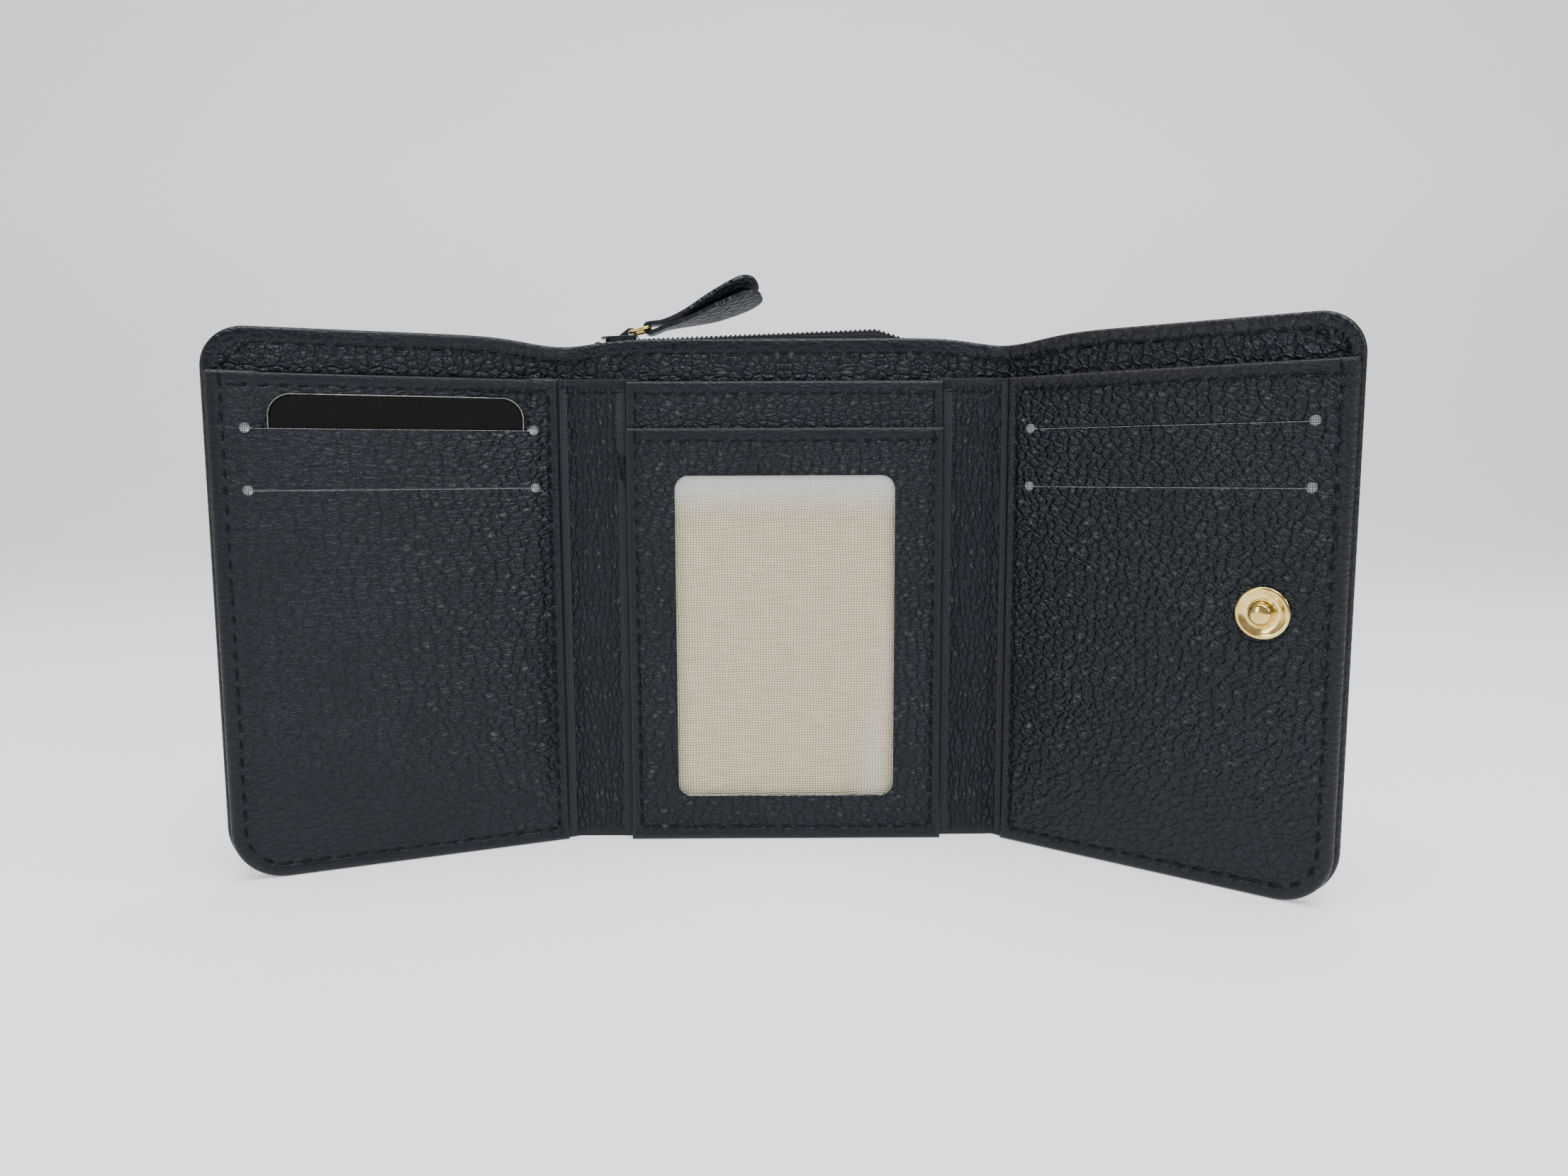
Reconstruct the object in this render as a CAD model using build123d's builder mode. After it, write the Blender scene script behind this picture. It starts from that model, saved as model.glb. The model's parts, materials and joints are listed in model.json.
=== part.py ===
"""Trifold leather wallet, standing open on its bottom edge.

Three stiff sections, left wing, centre and right wing, are joined by two soft fold strips. The outer
leather runs behind all of them. A note compartment lies between it and the inner panels. A zipped coin
pocket is sewn to the back of the centre, and a press stud on the right wing meets a socket on the back
of the left wing when the wallet is closed.

Frame, in millimetres: X to the right, Y away from the open side, Z up. The origin is the middle of the
centre section's bottom edge, on the front face of the inner card tier. Depths are counted from that
face towards the back of the wallet. Each wing has the same depths, measured square to its own face.
"""

import os
from math import cos, radians, sin, tan

from build123d import *

LEFT, RIGHT = -1, 1
SIDE_NAME = {LEFT: "left", RIGHT: "right"}

# Outline
centre_half_width = 37.75
fold_width = 16.0
wing_width = 74.8
shell_height = 121.0
inner_height = 111.5
front_tier_height = 100.0
corner_radius = 12.0
panel_edge_inset = 0.8
wing_angle = {LEFT: 22.0, RIGHT: 38.0}

# Creases: each fold strip turns on a line crease_inset in from the panel edge at either end
crease_inset = 2.6
crease_gap = 0.5
hinge_depth = 1.6
inner_hinge_x = centre_half_width + crease_inset
outer_hinge_x = centre_half_width + fold_width - crease_inset

# Layers, as depths behind the panel front
leather = 0.8
hem_depth = 1.5
hem_width = 4.6
top_hem_width = 4.2
note_wall_back = 2.0
facing_depth = 2.3
lining_thickness = 0.15
board_depth = 2.47
shell_depth = 2.8
shell_back = shell_depth + leather
layer_gap = 0.02
shell_hem_width = 7.0
facing_bottom = 97.0

# Card slots on the wings, measured along the wing from its inner panel edge
slot_inner = 6.15
slot_outer = 66.7
slot_heights = (99.4, 86.1)
slot_cut = 0.3
slot_hole_radius = 1.1
pocket_cloth = 0.07
pocket_seam = 0.4
field_rise = 1.1
field_bottom = 16.0
field_lap = 1.0
pressed_depth = 0.72

# Card standing in the upper left slot
card_width = 54.0
card_height = 85.6
card_thickness = 0.4
card_corner = 5.0
card_inner = 8.3
card_showing = 7.4
card_depth = 0.05

# Centre pockets
window_width = 52.3
window_bottom = 10.8
window_top = 88.7
window_corner = 3.2
front_tier_depth = -1.2
centre_hem_width = 6.0
tier_leather_bottom = 89.5

# Press stud and socket
snap_height = 60.3
stud_along = 58.5
socket_along = 25.84
snap_radius = 5.5
rivet_shank_radius = 1.5
rivet_flange_radius = 4.2

# Coin pocket
pocket_half_width = 39.4
pocket_panel_depth = 10.4
pocket_height = 119.5
gusset_thickness = 0.35

# Zip: the chain climbs gently from its closed end on the left
zip_depth = 7.1
zip_slope = 2.2
zip_start = (-45.1, 120.05)
zip_straight_end = 22.0
zip_end = (38.0, 117.5)
coil_height = 1.4
coil_row_width = 1.6
coil_gap = 0.8
tape_thickness = 0.4
tape_leg_thickness = 0.4
tape_leg_bottom = 108.0
coil_start_x = -35.0
coil_end = (34.0, 118.7)
top_stop_x = -44.55
bottom_stop = (35.5, zip_depth, 118.3)
slider_x = -39.5
slider_half_length = 4.5
slider_half_width = 2.8

# Pull
ring_length = 4.6
ring_width = 6.0
ring_wire = 0.5
ring_pivot = (2.9, 2.55)
ring_lift = 12.0
tab_thickness = 1.1
tab_length = 28.0
tab_neck = 4.6
tab_width = 10.0
leaf_lifts = {"upper": 12.8, "lower": 4.2}

# Thread
thread_width = 0.5
thread_rise = 0.25
seam_inset = 3.0


def flat_plane(depth):
    """A plane facing the open side at a depth behind the centre section's front; its Y runs up."""
    return Plane(origin=(0, depth, 0), x_dir=(1, 0, 0), z_dir=(0, -1, 0))


def wing_plane(side, depth):
    """The same for a wing, with its X origin on the crease between the wing and its fold strip."""
    angle = radians(wing_angle[side])
    back = (side * sin(angle), cos(angle))
    behind = depth - hinge_depth
    origin = (side * outer_hinge_x + behind * back[0], hinge_depth + behind * back[1], 0)
    return Plane(origin=origin, x_dir=(cos(angle), -side * sin(angle), 0), z_dir=(-back[0], -back[1], 0))


def on_wing(side, along):
    """Sketch X of a point that lies along the wing from its inner panel edge."""
    return side * (crease_inset + along)


def export(part, label):
    """Writes one finished piece to parts/, under its own name."""
    part.part.label = label
    export_step(part.part, f"parts/{label}.step")


def span(x0, x1, z0, z1):
    """A rectangle given by its two X and two Z limits, in the sketch that is being drawn."""
    with Locations(((x0 + x1) / 2, (z0 + z1) / 2)):
        return Rectangle(abs(x1 - x0), abs(z1 - z0))


def rectangle_on(plane, x0, x1, z0, z1):
    """A rectangle drawn on a plane, for a piece to extrude."""
    with BuildSketch(plane) as drawn:
        span(x0, x1, z0, z1)
    return drawn.sketch


def wing_outline(plane, side, along0, along1, z0, z1, radius_low=0.0, radius_high=0.0):
    """A wing sheet's outline, with its outer corners rounded where a radius is given."""
    with BuildSketch(plane) as outline:
        span(on_wing(side, along0), on_wing(side, along1), z0, z1)
        for z, radius in ((z0, radius_low), (z1, radius_high)):
            if radius:
                fillet(outline.vertices().sort_by_distance((on_wing(side, along1), z))[0], radius)
    return outline.sketch


# ---------------------------------------------------------------- shell, facing, lining, note wall


def section_range(section):
    """X limits of the flat sections: the centre, or a fold strip between its two creases."""
    if section == "centre":
        return -(inner_hinge_x - crease_gap), inner_hinge_x - crease_gap
    side = LEFT if section == "left_fold" else RIGHT
    ends = side * (inner_hinge_x + crease_gap), side * (outer_hinge_x - crease_gap)
    return min(ends), max(ends)


def flat_shell(section):
    """Outer leather of a flat section, with its bottom edge turned up inside."""
    x0, x1 = section_range(section)
    with BuildPart() as shell:
        with BuildSketch(flat_plane(shell_depth)):
            span(x0, x1, 0, shell_height)
        extrude(amount=-leather)
        with BuildSketch(flat_plane(note_wall_back)):
            span(x0, x1, 0, shell_hem_width)
        extrude(amount=-(shell_depth - note_wall_back))
    export(shell, f"outer_shell_{section}")


def flat_facing(section):
    """Grained leather facing that lines the top of the note compartment."""
    x0, x1 = section_range(section)
    with BuildPart() as facing:
        with BuildSketch(flat_plane(facing_depth)):
            span(x0, x1, facing_bottom, shell_height)
        extrude(amount=-(shell_depth - layer_gap - facing_depth))
    export(facing, f"facing_{section}")


def flat_note_wall(section):
    """Front wall of the note compartment; in a fold strip it is the grained leather that shows."""
    x0, x1 = section_range(section)
    with BuildPart() as wall:
        with BuildSketch(flat_plane(hinge_depth)):
            span(x0, x1, 0, inner_height - 0.5)
        extrude(amount=-(note_wall_back - hinge_depth))
    export(wall, f"note_wall_{section}")


def fold_thread(side):
    """Hem stitching across the top of a fold strip, and along the facing behind it."""
    with BuildPart() as thread:
        for depth, z, x0, x1 in (
            (hinge_depth, inner_height - seam_inset, inner_hinge_x + 1, outer_hinge_x - 4.3),
            (facing_depth, shell_height - seam_inset, inner_hinge_x + 1, outer_hinge_x - 1),
        ):
            with BuildSketch(flat_plane(depth)):
                span(side * x0, side * x1, z - thread_width / 2, z + thread_width / 2)
            extrude(amount=thread_rise)
    export(thread, f"{SIDE_NAME[side]}_fold_thread")


def wing_shell(side):
    """Outer leather of a wing: rounded outer corners, outer and bottom edges turned in as a hem."""
    inner = crease_gap - crease_inset
    with BuildPart() as shell:
        behind = wing_plane(side, shell_depth)
        outline = wing_outline(behind, side, inner, wing_width, 0, shell_height, corner_radius, corner_radius)
        extrude(outline, amount=-leather)
        rim = wing_outline(
            wing_plane(side, note_wall_back), side, inner, wing_width, 0, facing_bottom - 0.3, corner_radius
        )
        extrude(rim, amount=-(shell_depth - note_wall_back))
        field = wing_outline(
            wing_plane(side, note_wall_back),
            side,
            inner - 1,
            wing_width - shell_hem_width,
            shell_hem_width,
            facing_bottom,
            corner_radius - shell_hem_width,
        )
        extrude(field, amount=-(shell_depth - note_wall_back), mode=Mode.SUBTRACT)
        if side == LEFT:
            with BuildSketch(wing_plane(side, shell_depth)):
                with Locations((on_wing(side, socket_along), snap_height)):
                    Circle(rivet_shank_radius + 0.1)
            extrude(amount=-leather, mode=Mode.SUBTRACT)
    export(shell, f"outer_shell_{SIDE_NAME[side]}_wing")


def wing_facing(side):
    """Facing along the top of a wing, with the same rounded corner as the shell."""
    with BuildPart() as facing:
        outline = wing_outline(
            wing_plane(side, facing_depth),
            side,
            crease_gap - crease_inset,
            wing_width,
            facing_bottom,
            shell_height,
            0,
            corner_radius,
        )
        extrude(outline, amount=-(shell_depth - layer_gap - facing_depth))
    export(facing, f"facing_{SIDE_NAME[side]}_wing")


def wing_note_wall(side):
    """Front wall of the note compartment behind a wing's card pockets."""
    with BuildPart() as wall:
        outline = wing_outline(
            wing_plane(side, hinge_depth),
            side,
            crease_gap - crease_inset,
            wing_width - panel_edge_inset,
            0,
            inner_height - 1,
            corner_radius - panel_edge_inset,
        )
        extrude(outline, amount=-(note_wall_back - hinge_depth))
    export(wall, f"note_wall_{SIDE_NAME[side]}_wing")


def wing_lining_and_board(side):
    """Cloth lining inside a wing's outer leather, and the thin board that stiffens it."""
    low = shell_hem_width + 0.2
    outer = wing_width - shell_hem_width - 0.2
    with BuildPart() as lining:
        sheet = wing_outline(wing_plane(side, facing_depth), side, -1.5, outer, low, facing_bottom - 0.3, 5)
        extrude(sheet, amount=-lining_thickness)
    export(lining, f"note_lining_{SIDE_NAME[side]}_wing")
    with BuildPart() as board:
        sheet = wing_outline(wing_plane(side, board_depth), side, 0, outer, low, facing_bottom - 0.3, 5)
        extrude(sheet, amount=-(shell_depth - layer_gap - board_depth))
        if side == LEFT:
            with BuildSketch(wing_plane(side, board_depth)):
                with Locations((on_wing(side, socket_along), snap_height)):
                    Circle(rivet_flange_radius + 0.2)
            extrude(amount=-leather, mode=Mode.SUBTRACT)
    export(board, f"stiffener_{SIDE_NAME[side]}_wing")


def centre_lining_and_board():
    """Cloth lining and stiffening board of the centre section."""
    low = shell_hem_width + 0.2
    half = inner_hinge_x - crease_gap
    with BuildPart() as lining:
        with BuildSketch(flat_plane(facing_depth)):
            span(-half, half, low, facing_bottom - 0.3)
        extrude(amount=-lining_thickness)
    export(lining, "note_lining_centre")
    with BuildPart() as board:
        with BuildSketch(flat_plane(board_depth)):
            span(-centre_half_width, centre_half_width, low, facing_bottom - 0.3)
        extrude(amount=-(shell_depth - layer_gap - board_depth))
    export(board, "stiffener_centre")


# ---------------------------------------------------------------- wing pockets


def slot_span(side):
    """Sketch X limits of a wing's card slots, lowest first."""
    ends = on_wing(side, slot_inner), on_wing(side, slot_outer)
    return min(ends), max(ends)


def wing_pocket_panel(side):
    """Grained leather panel of a wing: turned hems all round, and two card slots with punched ends."""
    outer = wing_width - panel_edge_inset
    x0, x1 = slot_span(side)
    high, low = slot_heights
    with BuildPart() as panel:
        corner = corner_radius - panel_edge_inset
        sheet = wing_outline(wing_plane(side, 0), side, 0, outer, 0, inner_height, corner)
        extrude(sheet, amount=-hem_depth)
        cavity = wing_outline(
            wing_plane(side, leather),
            side,
            hem_width,
            outer - hem_width - panel_edge_inset,
            top_hem_width,
            inner_height - top_hem_width,
            4.0,
        )
        extrude(cavity, amount=-hem_depth, mode=Mode.SUBTRACT)
        if side == LEFT:
            raise_field_over_card(x0, x1)
        with BuildSketch(wing_plane(side, -2 * field_rise)):
            span(x0, x1, low - slot_cut / 2, low + slot_cut / 2)
            if side == RIGHT:
                span(x0, x1, high - slot_cut / 2, high + slot_cut / 2)
            with Locations(*((x, z) for x in (x0, x1) for z in (high, low))):
                Circle(slot_hole_radius)
        extrude(amount=-(2 * field_rise + leather), mode=Mode.SUBTRACT)
        if side == RIGHT:
            with BuildSketch(wing_plane(side, 0)):
                with Locations((on_wing(side, stud_along), snap_height)):
                    Circle(rivet_shank_radius + 0.1)
            extrude(amount=-leather, mode=Mode.SUBTRACT)
    export(panel, f"{SIDE_NAME[side]}_pocket_panel")


def raise_field_over_card(x0, x1):
    """Reshapes the left panel round the card: proud of it below the slot, pressed back above it."""
    high = slot_heights[0]
    wide = x0 - field_lap, x1 + field_lap
    proud = rectangle_on(wing_plane(LEFT, -field_rise), *wide, field_bottom, high)
    extrude(proud, amount=-field_rise)
    hollow = rectangle_on(wing_plane(LEFT, leather - field_rise), x0, x1, field_bottom + field_lap, high)
    extrude(hollow, amount=-(field_rise + leather), mode=Mode.SUBTRACT)
    above = rectangle_on(wing_plane(LEFT, 0), x0, x1, high, inner_height)
    extrude(above, amount=-pressed_depth, mode=Mode.SUBTRACT)
    pressed = rectangle_on(wing_plane(LEFT, pressed_depth), *wide, high, inner_height)
    extrude(pressed, amount=-(hem_depth - pressed_depth))


def slot_pocket(side, label, bottom, margin, front, back):
    """A folded cloth pocket that hangs behind a card slot, from its front ply to its back ply."""
    x0, x1 = slot_span(side)
    top = slot_heights[0 if label == "upper" else 1] - slot_cut
    with BuildPart() as pocket:
        with BuildSketch(wing_plane(side, front)):
            span(x0 - margin, x1 + margin, bottom, top)
        extrude(amount=-(back - front))
        with BuildSketch(wing_plane(side, front + pocket_cloth)):
            span(x0 - margin + pocket_seam, x1 + margin - pocket_seam, bottom + pocket_seam, top)
        extrude(amount=-(back - front - 2 * pocket_cloth), mode=Mode.SUBTRACT)
    export(pocket, f"{SIDE_NAME[side]}_{label}_pocket_cloth")


def sewn_line(plane, *corners, radius=0.0, rise=thread_rise):
    """Adds a raised line of stitching through its corners, rounded where a radius is given."""
    with BuildSketch(plane) as line:
        with BuildLine():
            if radius:
                FilletPolyline(*corners, radius=radius)
            else:
                Polyline(*corners)
        trace(line_width=thread_width)
    extrude(line.sketch, amount=rise)


def wing_thread(side):
    """Stitching of a wing: round the panel, across its top hem, and along the facing."""
    outer = on_wing(side, wing_width - panel_edge_inset - seam_inset - 0.2)
    inner = on_wing(side, seam_inset - 0.5)
    front, behind = wing_plane(side, 0), wing_plane(side, facing_depth)
    arc = corner_radius - panel_edge_inset - seam_inset
    hem_z = inner_height - seam_inset
    top_z = shell_height - seam_inset
    x0, x1 = slot_span(side)
    hem_breaks = (x0 - field_lap, x1 + field_lap) if side == LEFT else (x0, x0)
    low_x, high_x = sorted((inner, outer))
    with BuildPart() as thread:
        sewn_line(front, (inner, seam_inset), (outer, seam_inset), (outer, inner_height), radius=arc)
        sewn_line(front, (inner, inner_height), (inner, seam_inset))
        sewn_line(front, (low_x, hem_z), (hem_breaks[0], hem_z))
        sewn_line(front, (hem_breaks[1], hem_z), (high_x, hem_z))
        top_run = (outer, inner_height + 0.5), (outer, top_z), (on_wing(side, 0), top_z)
        sewn_line(behind, *top_run, radius=arc - 2.5)
        if side == LEFT:
            pressed = wing_plane(side, pressed_depth)
            sewn_line(pressed, (x0 + 0.1, hem_z), (x1 - 0.1, hem_z), rise=thread_rise - 0.05)
    export(thread, f"{SIDE_NAME[side]}_wing_thread")


def display_card():
    """Card with rounded corners, standing in the upper slot of the left wing."""
    top = slot_heights[0] + card_showing
    middle = on_wing(LEFT, card_inner + card_width / 2)
    with BuildPart() as card:
        with BuildSketch(wing_plane(LEFT, card_depth)):
            with Locations((middle, top - card_height / 2)):
                RectangleRounded(card_width, card_height, card_corner)
        extrude(amount=-card_thickness)
    export(card, "display_card")


# ---------------------------------------------------------------- centre pockets


def centre_back_tier():
    """Back card tier: a leather frame with turned hems, open in the middle where the cloth shows."""
    half = centre_half_width
    inner = half - centre_hem_width
    with BuildPart() as tier:
        with BuildSketch(flat_plane(0)):
            span(-half, half, 0, inner_height - 0.5)
            with Locations((0, (centre_hem_width + tier_leather_bottom) / 2)):
                Rectangle(2 * inner, tier_leather_bottom - centre_hem_width, mode=Mode.SUBTRACT)
        extrude(amount=-leather)
        with BuildSketch(flat_plane(leather)):
            span(-half, half, 0, inner_height - 0.5)
            span_hole = (centre_hem_width, inner_height - 0.5 - centre_hem_width)
            with Locations((0, sum(span_hole) / 2)):
                Rectangle(2 * inner, span_hole[1] - span_hole[0], mode=Mode.SUBTRACT)
        extrude(amount=-(hem_depth - leather))
    export(tier, "back_tier_panel")
    with BuildPart() as cloth:
        with BuildSketch(flat_plane(leather + 0.05)):
            span(-inner + 0.2, inner - 0.2, centre_hem_width + 0.2, inner_height - 1 - centre_hem_width)
        extrude(amount=-lining_thickness)
    export(cloth, "id_pocket_cloth")


def window_panel():
    """Front tier with the rounded window, and the clear film behind it."""
    half = centre_half_width
    inner = half - centre_hem_width
    top = front_tier_height
    back = front_tier_depth + leather
    with BuildPart() as panel:
        with BuildSketch(flat_plane(front_tier_depth)):
            span(-half, half, 0, top)
            with Locations((0, (window_bottom + window_top) / 2)):
                RectangleRounded(window_width, window_top - window_bottom, window_corner, mode=Mode.SUBTRACT)
        extrude(amount=-leather)
        with BuildSketch(flat_plane(back)):
            span(-half, -inner, 0, top)
            span(inner, half, 0, top)
            span(-inner, inner, 0, centre_hem_width)
        extrude(amount=back)
        with BuildSketch(flat_plane(back)):
            span(-inner, inner, top - centre_hem_width, top)
        extrude(amount=back + 0.1)
    export(panel, "window_panel")
    with BuildPart() as film:
        with BuildSketch(flat_plane(back)):
            span(-inner + 0.3, inner - 0.3, centre_hem_width + 0.3, top - centre_hem_width - 0.3)
        extrude(amount=-lining_thickness)
    export(film, "window_film")


def centre_thread():
    """Stitching of the centre: both tiers' hems, their sides and bottom, and the zip's front seam."""
    half = centre_half_width - seam_inset + 0.6
    tier_z = inner_height - 0.5 - seam_inset
    front_z = front_tier_height - seam_inset
    front, tier = flat_plane(front_tier_depth), flat_plane(0)
    with BuildPart() as thread:
        for x in (-half, half):
            sewn_line(front, (x, front_tier_height), (x, seam_inset))
            sewn_line(tier, (x, front_tier_height + 0.5), (x, inner_height - 1))
        sewn_line(front, (-half, seam_inset), (half, seam_inset))
        sewn_line(front, (-half, front_z), (half, front_z))
        sewn_line(tier, (-half, tier_z), (half, tier_z))
        behind_z = shell_height - seam_inset
        sewn_line(flat_plane(facing_depth), (-centre_half_width, behind_z), (centre_half_width, behind_z))
    export(thread, "centre_thread")


# ---------------------------------------------------------------- press stud and socket


def snap_profile_plane(side, along, depth, outward):
    """A plane through a snap's axis: X is the radius, Y the height along the outward normal."""
    face = wing_plane(side, depth)
    centre = face.from_local_coords((on_wing(side, along), snap_height, 0))
    normal = face.z_dir if outward > 0 else face.z_dir * -1
    return Plane(origin=centre, x_dir=(0, 0, 1), z_dir=Vector(0, 0, 1).cross(normal))


def snap_axis(plane):
    """The axis that a snap's profile turns about."""
    return Axis(plane.origin, plane.y_dir)


def snap_stud():
    """Stud of the press fastener: rolled rim, hollow bowl, raised ring and a domed post."""
    plane = snap_profile_plane(RIGHT, stud_along, 0, 1)
    with BuildPart() as stud:
        with BuildSketch(plane):
            with BuildLine():
                Polyline((0, 1.1), (1.55, 1.1), (1.55, 0), (5.2, 0))
                ThreePointArc((5.2, 0), (snap_radius, 0.3), (5.2, 0.6))
                Line((5.2, 0.6), (4.7, 0.62))
                ThreePointArc((4.7, 0.62), (3.8, 0.28), (3.05, 0.22))
                Line((3.05, 0.22), (2.95, 0.5))
                ThreePointArc((2.95, 0.5), (2.8, 0.62), (2.65, 0.5))
                Polyline((2.65, 0.5), (2.5, 0.2), (1.95, 0.25), (1.85, 1.6))
                ThreePointArc((1.85, 1.6), (2.25, 2.1), (1.85, 2.65))
                Polyline((1.85, 2.65), (1.1, 2.93), (0.4, 3.0), (0, 3.0), (0, 1.1))
            make_face()
        revolve(axis=snap_axis(plane))
    export(stud, "snap_stud")


def snap_socket():
    """Socket that the stud's post enters: flange, domed ring and an open bore."""
    plane = snap_profile_plane(LEFT, socket_along, shell_back, -1)
    with BuildPart() as socket:
        with BuildSketch(plane):
            with BuildLine():
                Polyline((0, 0.15), (1.0, 0.15), (1.55, 0.15), (1.55, 0), (snap_radius - 0.45, 0))
                RadiusArc((snap_radius - 0.45, 0), (snap_radius - 0.45, 0.4), -0.2)
                Line((snap_radius - 0.45, 0.4), (4.5, 0.45))
                ThreePointArc((4.5, 0.45), (4.25, 1.5), (3.6, 2.1))
                ThreePointArc((3.6, 2.1), (3.1, 2.2), (2.75, 1.95))
                Polyline((2.75, 1.95), (2.75, 0.35), (0, 0.35), (0, 0.15))
            make_face()
        revolve(axis=snap_axis(plane))
    export(socket, "snap_socket")


def snap_rivet(side, along, depth, reach, outward, label):
    """Rivet that holds a snap half: a flange behind the leather and a shank through it."""
    plane = snap_profile_plane(side, along, depth, outward)
    flange = 0.28
    with BuildPart() as rivet:
        with BuildSketch(plane):
            with BuildLine():
                Polyline(
                    (0, 0),
                    (rivet_flange_radius, 0),
                    (rivet_flange_radius, flange),
                    (rivet_shank_radius, flange),
                    (rivet_shank_radius, reach),
                    (0, reach),
                    close=True,
                )
            make_face()
        revolve(axis=snap_axis(plane))
    export(rivet, label)


# ---------------------------------------------------------------- coin pocket and zip


def coin_pocket():
    """Back panel of the coin pocket, its two pleated side gussets, and its seam."""
    panel_back = pocket_panel_depth + leather
    with BuildPart() as panel:
        with BuildSketch(flat_plane(pocket_panel_depth)):
            span(-pocket_half_width, pocket_half_width, 0, pocket_height)
        extrude(amount=-leather)
        with BuildSketch(flat_plane(shell_back + layer_gap)):
            span(-pocket_half_width, pocket_half_width, 0, leather)
        extrude(amount=-(panel_back - shell_back - layer_gap))
        fillet(panel.edges().filter_by(Axis.X).sort_by(Axis.Y)[-2:].sort_by(Axis.Z)[0], 0.7)
    export(panel, "coin_pocket_panel")
    for side in (LEFT, RIGHT):
        outer = side * (pocket_half_width - 0.4)
        with BuildPart() as gusset:
            with BuildSketch(Plane.XY.offset(leather + 0.1)):
                with BuildLine():
                    Polyline(
                        (outer, shell_back + 0.35),
                        (outer - side * 3.6, (shell_back + pocket_panel_depth) / 2),
                        (outer, pocket_panel_depth - 0.35),
                    )
                trace(line_width=gusset_thickness)
            extrude(amount=104)
        export(gusset, f"coin_gusset_{SIDE_NAME[side]}")
    with BuildPart() as thread:
        half = pocket_half_width - seam_inset
        with BuildSketch(flat_plane(panel_back)):
            with BuildLine():
                Polyline(
                    (-half, pocket_height - seam_inset),
                    (-half, seam_inset),
                    (half, seam_inset),
                    (half, pocket_height - seam_inset),
                    close=True,
                )
            trace(line_width=thread_width)
        extrude(amount=-thread_rise)
    export(thread, "coin_pocket_thread")


def zip_height(x):
    """Height of the zip's centre line along its straight run."""
    return zip_start[1] + (x - zip_start[0]) * tan(radians(zip_slope))


def zip_band(label, depth, width, thickness, start, end):
    """A band that follows the zip's line, between two X limits."""
    with BuildPart() as band:
        with BuildSketch(flat_plane(depth)):
            with BuildLine():
                Polyline((start, zip_height(start)), (zip_straight_end, zip_height(zip_straight_end)), end)
            trace(line_width=thickness)
        extrude(amount=-width)
    export(band, label)


def zip_chain():
    """The two rows of the coil, as bars either side of the slider's divider, and the end stops."""
    front = zip_depth - coil_gap / 2 - coil_row_width
    zip_band("zip_coil_front", front, coil_row_width, coil_height, coil_start_x, coil_end)
    zip_band("zip_coil_rear", zip_depth + coil_gap / 2, coil_row_width, coil_height, coil_start_x, coil_end)
    with BuildPart() as stops:
        for row in (front + 0.5, 2 * zip_depth - front - 0.5):
            with Locations((top_stop_x, row, zip_height(top_stop_x))):
                Box(0.9, 0.96, 1.2)
        with Locations(bottom_stop):
            Box(1.6, 3.8, 1.8)
    export(stops, "zip_stops")


def zip_tape(row):
    """One tape: a narrow shelf beside its coil row, and a leg that is sewn down the pocket wall."""
    coil_edge = coil_gap / 2 + coil_row_width + layer_gap
    leg_start = shell_back + layer_gap
    leg_end = leg_start + tape_leg_thickness
    shelf_start, shelf_end = leg_end, zip_depth - coil_edge
    if row == "rear":
        leg_end = pocket_panel_depth - layer_gap
        leg_start = leg_end - tape_leg_thickness
        shelf_start, shelf_end = zip_depth + coil_edge, leg_start
    left, right = -pocket_half_width + 0.4, zip_end[0] - 0.2
    crest = zip_straight_end, zip_height(zip_straight_end)
    with BuildPart() as tape:
        with BuildSketch(flat_plane(shelf_start)):
            with BuildLine():
                Polyline(zip_start, crest, zip_end)
            trace(line_width=tape_thickness)
        extrude(amount=shelf_start - shelf_end)
        with BuildSketch(flat_plane(leg_start)):
            with BuildLine():
                Polyline(
                    (left, tape_leg_bottom),
                    (left, zip_height(left)),
                    crest,
                    (right, zip_end[1]),
                    (right, tape_leg_bottom),
                    close=True,
                )
            make_face()
        extrude(amount=leg_start - leg_end)
    export(tape, f"zip_tape_{row}")


def slider_frame(up=0.0):
    """Plane along the zip under the slider: X towards the open end, Z square to the chain."""
    slope = radians(zip_slope)
    x_dir, z_dir = (cos(slope), 0, sin(slope)), (-sin(slope), 0, cos(slope))
    return Plane(origin=(slider_x, zip_depth, zip_height(slider_x)), x_dir=x_dir, z_dir=z_dir).offset(up)


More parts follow.
